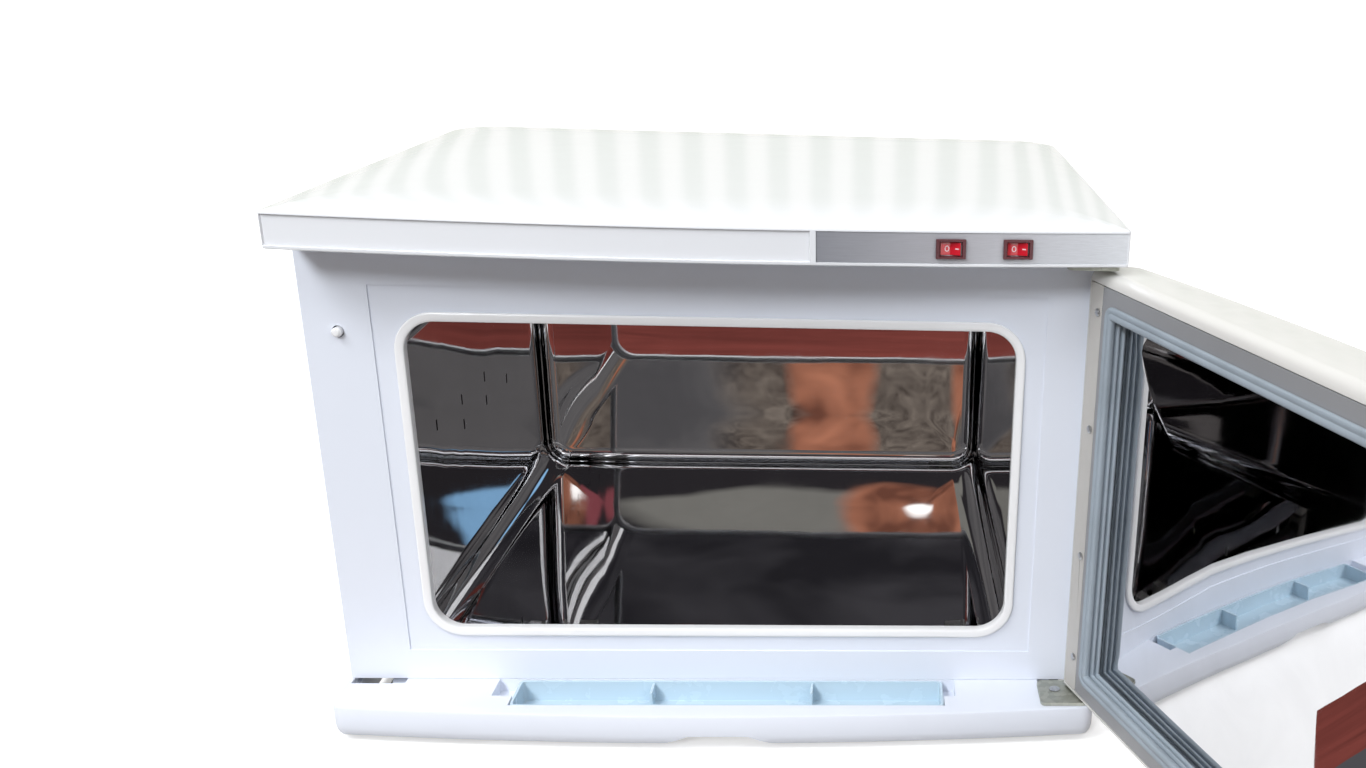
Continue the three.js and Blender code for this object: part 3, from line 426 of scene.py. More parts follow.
def overlay_film():
    """The control strip's silver film, finely brushed along X; its grey brightens to the right, a painted
    reflection.
    """
    n = Nodes("silver_overlay")
    low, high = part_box("control_overlay")
    along = n.remap(n.axis("X"), 0, 1, low.x, high.x)
    # Painted reflection: the film's grey runs from dark at its left end to bright at its right.
    reflection_greys = [(0, (0.33, 0.34, 0.38)), (0.45, (0.50, 0.50, 0.54)), (1, (0.80, 0.83, 0.88))]
    tone = n.ramp(along, reflection_greys)
    streaks = n.noise(1500, 3, 0.6, n.stretched(0.02, 1, 1))
    brushing = n.ramp(streaks, [(0.3, (0.7, 0.7, 0.7)), (0.7, (1, 1, 1))])
    n.link(n.mix(0.35, tone, brushing, "MULTIPLY"), "Base Color")
    n.link(n.remap(streaks, 0.3, 0.5, 0.3, 0.7), "Roughness")
    n.link(n.bump(streaks, 0.05, 0.03), "Normal")
    n.set(Metallic=0.4)
    return n.material


def foil():
    """Crinkled aluminium foil."""
    n = Nodes("foil")
    n.link(n.ramp(n.noise(60, 4), [(0.3, (0.62, 0.63, 0.64)), (0.7, (0.8, 0.81, 0.82))]), "Base Color")
    n.link(n.remap(n.noise(200, 3), 0.18, 0.4), "Roughness")
    n.link(n.bump(n.voronoi(90), 0.6, 0.4), "Normal")
    n.set(Metallic=1.0)
    return n.material


def felt():
    """White felted insulation."""
    n = Nodes("insulation")
    fibres = n.noise(120, 6, 0.7)
    n.link(n.ramp(fibres, [(0.3, (0.74, 0.73, 0.68)), (0.7, (0.9, 0.89, 0.85))]), "Base Color")
    n.link(n.bump(n.noise(700, 6, 0.8), 0.8, 0.5), "Normal")
    n.set(Roughness=0.95, Sheen_Weight=0.3)
    return n.material


def lamp_glass():
    """The lamp's clear tube, with a faint violet tint."""
    n = Nodes("lamp_glass")
    tint = n.ramp(n.noise(40, 3), [(0.3, (0.80, 0.84, 0.95)), (0.7, (0.92, 0.94, 1.0))])
    n.link(tint, "Base Color")
    n.link(n.remap(n.noise(80, 3), 0.04, 0.12), "Roughness")
    n.set(Transmission_Weight=0.75, IOR=1.46)
    return n.material


WHITE = moulded("body_white", (0.78, 0.82, 0.91), 0.36, grain=0.03, wave=0.03)
GLOSS_WHITE = moulded("gloss_white", (0.80, 0.82, 0.86), 0.1, tint=0.012, grain=0.01, coat=0.6, wave=0.05)
TRIM_WHITE = moulded("trim_white", (0.9, 0.905, 0.92), 0.18, grain=0.01, coat=0.3)
PAINTED = painted("painted_steel", (0.80, 0.82, 0.87), 0.32)
CREAM = moulded("door_cream", (0.72, 0.715, 0.695), 0.2, tint=0.015, grain=0.015, coat=0.4, wave=0.04)
STRIP = moulded("door_strip", (0.52, 0.505, 0.48), 0.42, grain=0.05)
FRAME_GREY = moulded("door_frame_grey", (0.28, 0.285, 0.3), 0.4, grain=0.05)
TRAY = moulded("tray_blue", (0.54, 0.68, 0.78), 0.25, tint=0.03, grain=0.02, coat=0.2)
RED = moulded("rocker_red", (0.62, 0.01, 0.025), 0.12, tint=0.1, grain=0.01, coat=0.8)
BEZEL = moulded("bezel_red", (0.09, 0.005, 0.012), 0.25, tint=0.2, grain=0.03, coat=0.3)
MARK = moulded("switch_mark", (0.86, 0.66, 0.69), 0.4, grain=0.02)
BLACK = moulded("black_plastic", (0.035, 0.035, 0.04), 0.45, tint=0.2, grain=0.1)
HOLDER = moulded("holder_white", (0.8, 0.79, 0.74), 0.45, tint=0.04, grain=0.08)
MIRROR = mirror_steel("polished_steel", (0.72, 0.72, 0.73), 0.10)
DOOR_MIRROR = mirror_steel("door_mirror", (0.66, 0.66, 0.67), 0.03)
STEEL = sheet_metal("plated_steel", (0.55, 0.56, 0.57), 0.32)
GALVANISED = galvanised()
OVERLAY = overlay_film()
BRASS = sheet_metal("pin_brass", (0.62, 0.5, 0.22), 0.3, (1, 0.1, 1))
FOIL = foil()
SILICONE = rubber("silicone_red", (0.42, 0.07, 0.05), 0.55)
FOOT = rubber("foot_rubber", (0.02, 0.02, 0.022), 0.7)
GASKET = rubber("gasket_rubber", (0.36, 0.42, 0.48), 0.5, 0.08)
FELT = felt()
GLASS = lamp_glass()


# ---------------------------------------------------------------- top cover

BODY_TOP = 293.4
COVER_PLAN = Plan(225, 327, -33, -46, 2.5, 26)
COVER_CREASE = 313.1
CROWN_TOP = 317.8
CROWN_RUN = 75
COVER_WALL = 3.6
COVER_CEILING = 309
# The two shallow fields along the cover's front, left and right of a narrow upright band.
FIELD = {"bottom": 295.2, "top": 311.6, "depth": 1.2, "edge": 0.25}
LEFT_FIELD = (-224, 55.8)
RIGHT_FIELD = (58.9, 224)
COVER_FRONT_FLAT = COVER_PLAN.half - COVER_PLAN.front_radius


def cover_columns():
    """Places along the front edge, 0 to 1, with close pairs where the fields begin and end."""
    shares = set(even_bow(44))
    for x in (LEFT_FIELD[1], RIGHT_FIELD[0]):
        for offset in (-FIELD["edge"], 0, FIELD["edge"]):
            shares.add((x + offset + COVER_FRONT_FLAT) / (2 * COVER_FRONT_FLAT))
    return sorted(shares)


COVER_COLUMNS = cover_columns()
COVER_CORNER = sorted({step / ARC_STEPS for step in range(ARC_STEPS + 1)} | {0.64, 0.68})


def cover_outline(inset, recessed=False):
    """The cover's outline at one level, with its fields sunk in where it's recessed."""
    outer = COVER_PLAN.outline(inset, COVER_COLUMNS, COVER_CORNER, soften=0.55)
    if not recessed:
        return outer
    inner = COVER_PLAN.outline(inset + FIELD["depth"], COVER_COLUMNS, COVER_CORNER)
    front = len(COVER_COLUMNS) + 2 * len(COVER_CORNER)
    edge = FIELD["edge"] / 2
    chosen = []
    for i, (whole, sunk) in enumerate(zip(outer, inner)):
        x = whole[0]
        inside = i < front and any(a + edge < x < b - edge for a, b in (LEFT_FIELD, RIGHT_FIELD))
        chosen.append(sunk if inside else whole)
    return chosen


def crown_height(inset):
    """The roof's height above the table, which rises fast at its rim and then levels out."""
    part = min(max(inset - 0.7, 0) / CROWN_RUN, 1)
    return COVER_CREASE + (CROWN_TOP - COVER_CREASE) * (1 - (1 - part) ** 3.8)


def cover_piece():
    """The shell from its ceiling down the inside, round its lower edge, up and over the roof."""
    rim = [(x, max(y, 3.3)) for x, y in cover_outline(COVER_WALL)]
    rings = [[(x, y, z) for x, y in rim] for z in (COVER_CEILING, BODY_TOP)]
    lower = [(BODY_TOP, 0.8), (BODY_TOP + 0.2, 0.35), (BODY_TOP + 0.5, 0.08), (BODY_TOP + 0.9, 0)]
    upper = [(FIELD["top"], 0), (312, 0), (312.5, 0.1), (312.85, 0.32)]
    sunk = (FIELD["bottom"] + FIELD["edge"], FIELD["top"] - FIELD["edge"])
    rings += [[(x, y, z) for x, y in cover_outline(inset)] for z, inset in lower]
    rings.append([(x, y, FIELD["bottom"]) for x, y in cover_outline(0)])
    rings += [[(x, y, z) for x, y in cover_outline(0, recessed=True)] for z in sunk]
    rings += [[(x, y, z) for x, y in cover_outline(inset)] for z, inset in upper]
    insets = [0.7, 1.4, 2.4, 4, 6, 8.5, 12, 16, 21, 27, 34, 42, 51, 60, 68, CROWN_RUN]
    rings += [[(x, y, crown_height(i)) for x, y in cover_outline(i)] for i in insets]
    return lofted("cover_shell", rings, smooth_angle=24)


dress(cover_piece(), GLOSS_WHITE, "cabinet", ["top_cover"])

# ---------------------------------------------------------------- opening trim and tank

OPENING = {"half": 173, "bottom": 56.9, "top": 250.5, "radius": 20}
OPENING_STEPS = 14
TRIM_DEPTH = 5
TRIM_LIP = 2.8
TRIM_OVERHANG = 2.5
TANK_FLANGE = 11.5
TANK_REAR = 297
TANK_REAR_HALF = 170
TANK_REAR_RADIUS = 10
TANK_SHEET = 0.6
# Two rows of three small slots in the tank's left wall.
RACK_SLOT = {"half_width": 1.1, "half_height": 3.4}
RACK_PITCH = 50
RACK_ROWS = ({"y": 46, "z": 171.5}, {"y": 96, "z": 155})


def opening_ring(margin, y):
    """The opening's outline, grown by a margin, at one depth."""
    half = OPENING["half"] + margin
    outline = rounded_outline(
        -half, half, OPENING["bottom"] - margin, OPENING["top"] + margin,
        OPENING["radius"] + margin, OPENING_STEPS,
    )
    return [(x, y, z) for x, z in outline]


def trim_piece():
    """A rounded bead on the front frame, and a sleeve that reaches back into the tank's mouth."""
    inner = -TRIM_OVERHANG
    section = [(TRIM_LIP, 0.55), (TRIM_LIP, -0.4), (2.65, -0.85), (2.3, -1.15), (1.7, -1.3)]
    section += [(inner + 1.6, -1.3), (inner + 0.8, -1.2), (inner + 0.25, -0.85), (inner, -0.3)]
    section += [(inner, 2.5), (inner, TRIM_DEPTH - 0.4), (inner + 0.3, TRIM_DEPTH)]
    section += [(1.8, TRIM_DEPTH), (2, TRIM_DEPTH - 0.3), (2, 0.9), (2.3, 0.55)]
    return lofted("opening_trim_band", [opening_ring(m, y) for m, y in section], close=True)


dress(trim_piece(), TRIM_WHITE, "cabinet", ["opening_trim"])


def tank_ring(y, inset=0):
    """One ring of the tank's inner face, which narrows a little and rounds into its back."""
    along = (y - TRIM_DEPTH) / (TANK_REAR - TRIM_DEPTH)
    half = OPENING["half"] + (TANK_REAR_HALF - OPENING["half"]) * along - inset
    radius = max(OPENING["radius"] - 2 - inset, 4)
    outline = rounded_outline(
        -half, half, OPENING["bottom"] + inset, OPENING["top"] - inset, radius, OPENING_STEPS
    )
    return [(x, y, z) for x, z in outline]


def tank_rear_rings(grow):
    """The rings that round the tank's wall into its back, grown by the sheet's thickness."""
    rings = []
    radius = TANK_REAR_RADIUS + grow
    for step in range(9):
        angle = CORNER * step / 8
        y = TANK_REAR + grow - radius * (1 - math.sin(angle))
        rings.append(tank_ring(y, radius * (1 - math.cos(angle)) - grow))
    return rings + [tank_ring(TANK_REAR + grow, 40)]


def rack_slot(y, z):
    """The cutter of one small slot through the tank's left wall."""
    wide, high = RACK_SLOT["half_width"], RACK_SLOT["half_height"]
    wall = OPENING["half"]
    return block(-wall - 7, -wall + 8, y - wide, y + wide, z - high, z + high)


def tank_piece():
    """A deep-drawn box of thin sheet, open at the front, where it turns out into a flange."""
    front = TRIM_DEPTH + 0.3
    depths = (front + 1, 70, 180, 260)
    outside = tank_rear_rings(TANK_SHEET)[::-1]
    outside += [tank_ring(y, -TANK_SHEET) for y in reversed(depths)]
    flange = [opening_ring(TANK_FLANGE, y) for y in (front + TANK_SHEET, front)]
    flange.append(opening_ring(1, front))
    inside = [tank_ring(y) for y in (front, *depths)] + tank_rear_rings(0)
    tank = lofted("tank_liner", outside + flange + inside, smooth_angle=50)
    slots = [
        rack_slot(row["y"] + step * RACK_PITCH, row["z"]) for row in RACK_ROWS for step in range(3)
    ]
    carve(tank, *slots)
    smooth(tank, 50)
    return tank


dress(tank_piece(), MIRROR, "cabinet", ["inner_tank"])


# ---------------------------------------------------------------- door

DOOR_PLAN = Plan(222, -3.2, -33, -45, 14, 2.5)
# The same plan reaching past the door's back, so that the hollow cut from it is open there.
HOLLOW_PLAN = Plan(222, 10, -33, -45, 14, 2.5)
DOOR = {"bottom": 27.5, "top": 288.5, "wall": 2.5, "roof": 6.9, "back": -3.2, "front": -45}
HINGE_PIN = (217, -11)
BUSH_LENGTH = 12
BUSH_BORE = 3.8
BUSH_BOSS = 4.7
GRIP = {"depth": 9, "wall": 2.5, "bottom": 118, "top": 198}
# How far the mirror lies under the door's back face, bulges in its middle, and bends in from
# its rim.
MIRROR_DEPTH = 9.6
MIRROR_BULGE = 3.2
MIRROR_SLOPE = 104
GASKET_HOLE = {"half": 195.3, "bottom": 44.8, "top": 268.2, "radius": 3}


def swung(obj):
    """Turns a piece that was drawn on the closed door to the open door."""
    obj.data.transform(SWING)
    return obj


def door_mirror_ring(inset, y):
    """The mirror's outline, drawn smaller by the inset, at one depth."""
    half, low, high = GASKET_HOLE["half"], GASKET_HOLE["bottom"], GASKET_HOLE["top"]
    outline = rounded_outline(-half + inset, half - inset, low + inset, high - inset, 3, 5)
    return [(x, y, z) for x, z in outline]


def door_mirror_piece():
    """The thin panel, sprung a little out of flat, so that its reflections bend at the rim."""
    face = DOOR["back"] - MIRROR_DEPTH - 0.3
    rings = [door_mirror_ring(0.5, face - 1), door_mirror_ring(0.5, face - 0.2)]
    for inset in (0.7, 4, 9, 15, 22, 30, 39, 49, 60, 72, 85, MIRROR_SLOPE):
        rise = MIRROR_BULGE * (1 - (1 - inset / MIRROR_SLOPE) ** 2)
        rings.append(door_mirror_ring(inset, face + rise))
    return swung(lofted("door_mirror", rings))


def door_shell_piece():
    """The door's moulding: hollow and open to the cabinet, with a grip at its free edge."""
    bow = even_bow(30)
    levels = [(DOOR["bottom"], 1.4), (27.7, 0.85), (28.1, 0.4), (28.6, 0.12), (29.4, 0)]
    levels += [(280.4, 0), (282.8, 0.12), (284.6, 0.5), (286, 1.2)]
    levels += [(287.1, 2.2), (287.9, 3.5), (288.35, 4.8), (DOOR["top"], 6.2)]
    rings = [[(x, y, z) for x, y in DOOR_PLAN.outline(inset, bow)] for z, inset in levels]
    shell = lofted("door_shell", rings)
    wall = DOOR["wall"]
    hollow_levels = (DOOR["bottom"] + wall, DOOR["top"] - DOOR["roof"])
    hollow_outline = HOLLOW_PLAN.outline(wall, bow)
    hollow = lofted("hollow", [[(x, y, z) for x, y in hollow_outline] for z in hollow_levels])
    bosses = [
        upright_rod(*HINGE_PIN, BUSH_BOSS, z, z + BUSH_LENGTH + 1)
        for z in (hollow_levels[0] - 1, hollow_levels[1] - BUSH_LENGTH)
    ]
    edge = -DOOR_PLAN.half
    reach = GRIP["depth"] + GRIP["wall"]
    grip_wall = block(
        edge, edge + reach, DOOR["front"] - 5, DOOR["back"] - 3.2,
        GRIP["bottom"] - GRIP["wall"], GRIP["top"] + GRIP["wall"],
    )
    carve(hollow, *bosses, grip_wall)
    grip = block(
        edge - 2, edge + GRIP["depth"], DOOR_PLAN.front_end + 3, DOOR["back"] - 8,
        GRIP["bottom"], GRIP["top"],
    )
    bores = [
        upright_rod(*HINGE_PIN, BUSH_BORE, z - 2, z + BUSH_LENGTH + 6)
        for z in (DOOR["bottom"], DOOR["top"] - BUSH_LENGTH - 4)
    ]
    carve(shell, hollow, grip, *bores)
    smooth(shell, 28)
    bevel(shell, 0.35)
    return swung(shell)


def gasket_ring(inset, y):
    """The gasket's outline, drawn smaller by the inset, at one depth."""
    hole = GASKET_HOLE
    radius = max(hole["radius"] - inset, 0.5)
    outline = rounded_outline(
        -hole["half"] + inset, hole["half"] - inset,
        hole["bottom"] + inset, hole["top"] - inset, radius, 5,
    )
    return [(x, y, z) for x, z in outline]


def gasket_piece():
    """A lip that seals on the body, and a wall of three rounded ridges down to the mirror."""
    back = DOOR["back"]
    section = [(-4.2, back + 0.35), (-4.2, back + 1.6), (-3.9, back + 2.05), (-3.3, back + 2.2)]
    section += [(-1.5, back + 2.2), (-1.2, back + 1.9), (-0.7, back + 1.9), (-0.4, back + 2.2)]
    section += [(1.6, back + 2.2), (2.4, back + 2), (2.9, back + 1.5), (3, back + 0.8)]
    section += [(3, back - 0.6), (2.7, back - 1.2), (2, back - 1.5), (1, back - 1.6)]
    for depth in (1.6, 5.1):
        foot = back - depth - 1.2
        section += [(1, foot), (2, foot - 0.1), (2.7, foot - 0.4), (3, foot - 0.9)]
        section += [(3, foot - 1.5), (2.7, foot - 2), (2, foot - 2.25), (1, foot - 2.3)]
    section += [(1, back - MIRROR_DEPTH), (0, back - MIRROR_DEPTH), (0, back + 0.35)]
    rings = [gasket_ring(inset, y) for inset, y in section]
    return swung(lofted("gasket_ring", rings, close=True, smooth_angle=50))


dress(door_shell_piece(), CREAM, "door", ["door_outer_shell"])
dress(gasket_piece(), GASKET, "door", ["door_gasket"])
dress(door_mirror_piece(), DOOR_MIRROR, "door", ["door_mirror_panel"])

# ---------------------------------------------------------------- switches

SWITCHES = {"heat": 128.8, "uv": 164.2}
SWITCH_Z = 303.2
ROCKER_PIVOT = 1.2
ROCKER_TILT = math.radians(-7)
ROCKER_HALF = (5.4, 3.5)
ROCKER_SIDE = 0.6
ROCKER_BACK = 5
ROCKER_NECK = 2
SWITCH_SEAT = 0.4
# The marks on a rocker's face: where each one's middle is from the rocker's, and its sizes.
RING_MARK = {"at": -1.8, "outer": 1.25, "inner": 0.75, "stretch": 0.35}
BAR_MARK = {"at": 3.5, "half": 1.0, "rise": 0.28}
MARK_ROOT = 0.04
MARK_PROUD = 0.08


def switch_frame(x):
    """The matrix that stands a switch on the fascia at x, along the bow there."""
    bow = COVER_PLAN.front_end - COVER_PLAN.front_middle
    y = COVER_PLAN.front_at(x) + SWITCH_SEAT
    turn = math.atan(2 * bow * x / COVER_PLAN.half**2)
    return Matrix.Translation(place(x, y, SWITCH_Z)) @ Matrix.Rotation(turn, 4, "Z")


def local_mesh(name, points, faces, matrix):
    """An object from points in millimetres about a matrix's own origin."""
    mesh = bpy.data.meshes.new(name)
    mesh.from_pydata([matrix @ (Vector(p) * MM) for p in points], [], faces)
    obj = bpy.data.objects.new(name, mesh)
    bpy.context.collection.objects.link(obj)
    smooth(obj, 30)
    recalculate_normals(obj)
    return obj


def slab(name, outline, rise, matrix):
    """An outline in X and Y made into a body that reaches as far up as down."""
    count = len(outline)
    points = [(x, y, z) for z in (-rise, rise) for x, y in outline]
    faces = bridge(count, 0, count)
    faces += [tuple(range(count)), tuple(range(2 * count - 1, count - 1, -1))]
    return local_mesh(name, points, faces, matrix)


def rocker_face(x):
    """The depth of the rocker's dished face at x."""
    return -0.8 - 1.1 * (abs(x) / ROCKER_HALF[0]) ** 1.3


def rocker_piece(name, x):
    """A dished rocker tilted about its pivot, with a ring on one half and a bar on the other."""
    pivot = Matrix.Translation((0, ROCKER_PIVOT * MM, 0))
    matrix = switch_frame(x) @ pivot @ Matrix.Rotation(ROCKER_TILT, 4, "Z")
    half, rise = ROCKER_HALF
    steps = 16
    outline = []
    for step in range(steps + 1):
        at = -half + 2 * half * step / steps
        outline.append((at, rocker_face(at)))
    outline += [(half, ROCKER_SIDE), (ROCKER_NECK, ROCKER_BACK)]
    outline += [(-ROCKER_NECK, ROCKER_BACK), (-half, ROCKER_SIDE)]
    rocker = slab(f"rocker_button_{name}", outline, rise, matrix)
    bevel(rocker, 0.35, 3, 40)
    dress(rocker, RED, f"{name}_rocker", [f"rocker_{name}"])
    dress(ring_mark(f"off_mark_{name}", matrix), MARK, f"{name}_rocker")
    dress(bar_mark(f"on_mark_{name}", matrix), MARK, f"{name}_rocker")


def ring_mark(name, matrix, sides=28):
    """A ring printed on the rocker's face, a little taller than wide."""
    outer, inner = RING_MARK["outer"], RING_MARK["inner"]
    section = ((outer, MARK_ROOT), (outer, -MARK_PROUD), (inner, -MARK_PROUD), (inner, MARK_ROOT))
    points = []
    for radius, depth in section:
        for side in range(sides):
            turn = 2 * math.pi * side / sides
            x = RING_MARK["at"] + radius * math.cos(turn)
            z = (radius + RING_MARK["stretch"]) * math.sin(turn)
            points.append((x, rocker_face(x) + depth, z))
    faces = []
    for ring in range(4):
        faces += bridge(sides, ring * sides, ((ring + 1) % 4) * sides)
    return local_mesh(name, points, faces, matrix)


def bar_mark(name, matrix):
    """A level bar printed on the rocker's face."""
    at, half = BAR_MARK["at"], BAR_MARK["half"]
    columns = [at - half + 2 * half * step / 4 for step in range(5)]
    outline = [(x, rocker_face(x) + MARK_ROOT) for x in columns]
    outline += [(x, rocker_face(x) - MARK_PROUD) for x in reversed(columns)]
    return slab(name, outline, BAR_MARK["rise"], matrix)


for switch_name, switch_x in SWITCHES.items():
    rocker_piece(switch_name, switch_x)

# ---------------------------------------------------------------- nodes that keep their CAD shape


SHARP_ANGLE = math.radians(32)


def soft_edge_group():
    """A node group that welds a CAD mesh and shades it smooth except across its sharp edges."""
    group = bpy.data.node_groups.new("soft_edges", "GeometryNodeTree")
    group.interface.new_socket("Geometry", in_out="INPUT", socket_type="NodeSocketGeometry")
    group.interface.new_socket("Geometry", in_out="OUTPUT", socket_type="NodeSocketGeometry")
    add, link = group.nodes.new, group.links.new
    source, out = add("NodeGroupInput"), add("NodeGroupOutput")
    bare = add("GeometryNodeRemoveAttribute")
    bare.inputs["Name"].default_value = "custom_normal"
    weld = add("GeometryNodeMergeByDistance")
    weld.inputs["Distance"].default_value = 0.01 * MM
    round_faces = add("GeometryNodeSetShadeSmooth")
    sharp_edges = add("GeometryNodeSetShadeSmooth")
    round_faces.domain, sharp_edges.domain = "FACE", "EDGE"
    sharp_edges.inputs["Shade Smooth"].default_value = False
    edge_angle, over = add("GeometryNodeInputMeshEdgeAngle"), add("FunctionNodeCompare")
    over.operation = "GREATER_THAN"
    over.inputs["B"].default_value = SHARP_ANGLE
    link(source.outputs[0], bare.inputs["Geometry"])
    link(bare.outputs[0], weld.inputs["Geometry"])
    link(weld.outputs[0], round_faces.inputs["Geometry"])
    link(round_faces.outputs[0], sharp_edges.inputs["Geometry"])
    link(edge_angle.outputs["Unsigned Angle"], over.inputs["A"])
    link(over.outputs[0], sharp_edges.inputs["Selection"])
    link(sharp_edges.outputs[0], out.inputs[0])
    return group


SOFT_EDGES = soft_edge_group()

# Each node with its material and the radius of its edges in millimetres.
KEPT = {
    "base_moulding": (WHITE, 0.5), "bottom_plate": (GALVANISED, 0.15),
    "foot_front_left": (FOOT, 0.3), "foot_front_right": (FOOT, 0.3),
    "foot_rear_left": (FOOT, 0.3), "foot_rear_right": (FOOT, 0.3),
    "front_frame": (WHITE, 0.25), "left_side_panel": (PAINTED, 0.25),
    "right_side_panel": (PAINTED, 0.25), "rear_panel": (PAINTED, 0.15),
    "heater_pad": (FOIL, 0.2), "heating_cord": (SILICONE, 0.5), "thermostat": (BLACK, 0.2),
    "thermal_fuse": (STEEL, 0), "insulation_top": (FELT, 1), "insulation_bottom": (FELT, 1),
    "insulation_left": (FELT, 1), "insulation_right": (FELT, 1), "insulation_rear": (FELT, 1),
    "uv_lamp_tube": (GLASS, 0.5), "uv_lamp_cap_left": (STEEL, 0.2), "uv_lamp_cap_right": (STEEL, 0.2),
    "lampholder_left": (HOLDER, 0.3), "lampholder_right": (HOLDER, 0.3),
    "uv_ballast": (STEEL, 0.3), "starter_holder": (HOLDER, 0.3), "starter": (HOLDER, 0.3),
    "terminal_block": (HOLDER, 0.3), "power_inlet": (BLACK, 0.3), "inlet_pin_live": (BRASS, 0.2),
    "inlet_pin_neutral": (BRASS, 0.2), "inlet_pin_earth": (BRASS, 0.2),
    "door_switch_body": (BLACK, 0.3), "door_switch_plunger": (TRIM_WHITE, 0.2),
    "control_overlay": (OVERLAY, 0), "switch_bezel_heat": (BEZEL, 0.3), "switch_bezel_uv": (BEZEL, 0.3),
    "lower_hinge_plate": (GALVANISED, 0.25), "upper_hinge_plate": (GALVANISED, 0.25),
    "lower_hinge_screw": (STEEL, 0.15), "upper_hinge_screw": (STEEL, 0.15),
    "door_inner_frame": (FRAME_GREY, 0.3), "door_hinge_strip": (STRIP, 0.3),
    "door_insulation": (FELT, 1), "door_strip_screw_1": (STEEL, 0.1), "door_strip_screw_2": (STEEL, 0.1),
    "door_strip_screw_3": (STEEL, 0.1), "door_strip_screw_4": (STEEL, 0.1),
    "lower_hinge_bush": (HOLDER, 0.2), "upper_hinge_bush": (HOLDER, 0.2), "drip_tray": (TRAY, 0.35),
}


def finish_node(name, material, width):
    """Gives a CAD node its material and soft edges, and leaves its mesh as it is."""
    node = NODES[name]
    node.data.materials.clear()
    node.data.materials.append(material)
    node.modifiers.new("soft_edges", "NODES").node_group = SOFT_EDGES
    if width:
        bevel(node, width)


for kept_name, (kept_material, kept_width) in KEPT.items():
    finish_node(kept_name, kept_material, kept_width)

# ---------------------------------------------------------------- floor, surroundings and light

# Metres of the row frame. Only the floor and the round wall are seen directly: the others
# are what the tank, the door's mirror and the glossy roof reflect.
FLOOR_REACH = 30
ROOM = {"half": 4, "y": -2.5, "height": 2.2}
GROUND = {"left": -3, "right": 0.11, "far": -0.1, "height": 0.0005}
BOARD = {"left": -3, "right": 0.09, "y": -0.1, "height": 0.053}
BLINDS = {"half": 3, "y": 2.6, "height": 3}

DARKNESS = (0.04, 0.036, 0.04)
PALE_WALL = (0.32, 0.31, 0.28)
WINDOW = (2.4, 2.3, 2.2)
RED_CLOTH = (0.42, 0.11, 0.13)
BLUE_SIGN = (0.45, 0.85, 1.3)
DAYLIGHT = (0.94, 0.97, 1.0)
WARM_ROOM = (1, 0.92, 0.86)


def lying(left, right, near, far, height=0):
    """The corners of a level rectangle, in metres of the row frame."""
    return [(left, near, height), (right, near, height), (right, far, height), (left, far, height)]


def standing(left, right, y, bottom, top):
    """The corners of an upright rectangle that faces the cabinet."""
    return [(left, y, bottom), (right, y, bottom), (right, y, top), (left, y, top)]


def stage_plane(name, corners, material, glossy_only=False):
    """A plane of the surroundings; glossy_only hides it from all but polished surfaces."""
    mesh = bpy.data.meshes.new(name)
    mesh.from_pydata(corners, [], [(0, 1, 2, 3)])
    plane = bpy.data.objects.new(name, mesh)
    bpy.context.collection.objects.link(plane)
    plane.data.materials.append(material)
    if glossy_only:
        plane.visible_camera = plane.visible_diffuse = plane.visible_shadow = False
        plane.visible_transmission = plane.visible_volume_scatter = False
    return plane


def ring_wall(name, radius, height, material):
    """A round wall far from the cabinet, so that no view shows the floor's end."""
    sides = 48
    turns = [2 * math.pi * side / sides for side in range(sides)]
    rings = [(radius * math.cos(t), radius * math.sin(t), z) for z in (0, height) for t in turns]
    mesh = bpy.data.meshes.new(name)
    mesh.from_pydata(rings, [], bridge(sides, 0, sides))
    wall = bpy.data.objects.new(name, mesh)
    bpy.context.collection.objects.link(wall)
    wall.data.materials.append(material)
    return wall


def floor_material():
    """White paper, which glows a little so that it stays white away from the lights."""
    n = Nodes("floor")
    paper = n.ramp(n.noise(1.5, 2), [(0.3, (0.9, 0.9, 0.9)), (0.7, (0.93, 0.93, 0.93))])
    n.link(paper, "Base Color")
    n.set(Roughness=0.9, Specular_IOR_Level=0.1)
    n.set(Emission_Color=(1, 1, 1, 1), Emission_Strength=0.35)
    return n.material


def glowing(n, colour):
    """Makes a node tree's surface give off a colour and nothing else."""
    shine = n.tree.nodes.new("ShaderNodeEmission")
    n.tree.links.new(colour, shine.inputs["Color"])
    n.tree.links.new(shine.outputs[0], n.tree.nodes["Material Output"].inputs["Surface"])
    return n.material


def white_paper():
    n = Nodes("white_paper")
    return glowing(n, n.ramp(n.noise(0.05, 2), [(0.3, (0.97, 0.97, 0.97)), (0.7, (1, 1, 1))]))


def dark_ground():
    """The dark floor in front of the cabinet, as the tank mirrors it."""
    n = Nodes("dark_ground")
    patches = n.noise(3.5, 3, 0.5, distortion=0.5)
    tone = n.ramp(patches, [(0.4, (0.04, 0.038, 0.044)), (0.6, (0.12, 0.115, 0.125))])
    return glowing(n, tone)


def brown_board():
    """A strip of reddish wood that the tank's rear wall mirrors along its top."""
    n = Nodes("brown_board")
    grain = n.noise(9, 6, 0.6, n.stretched(0.35, 2.5, 6), distortion=0.8)
    return glowing(n, n.ramp(grain, [(0.3, (0.16, 0.042, 0.035)), (0.7, (0.34, 0.085, 0.07))]))


def spot(n, x, z, wide, high):
    """1 inside an upright oval of the room's wall, fading to 0 at its edge."""
    across = n.math("MULTIPLY", n.math("SUBTRACT", n.axis("X"), x), 1 / wide)
    up = n.math("MULTIPLY", n.math("SUBTRACT", n.axis("Z"), z), 1 / high)
    reach = n.math("ADD", n.math("MULTIPLY", across, across), n.math("MULTIPLY", up, up))
    return n.remap(reach, 1, 0, 0.6, 1.2)


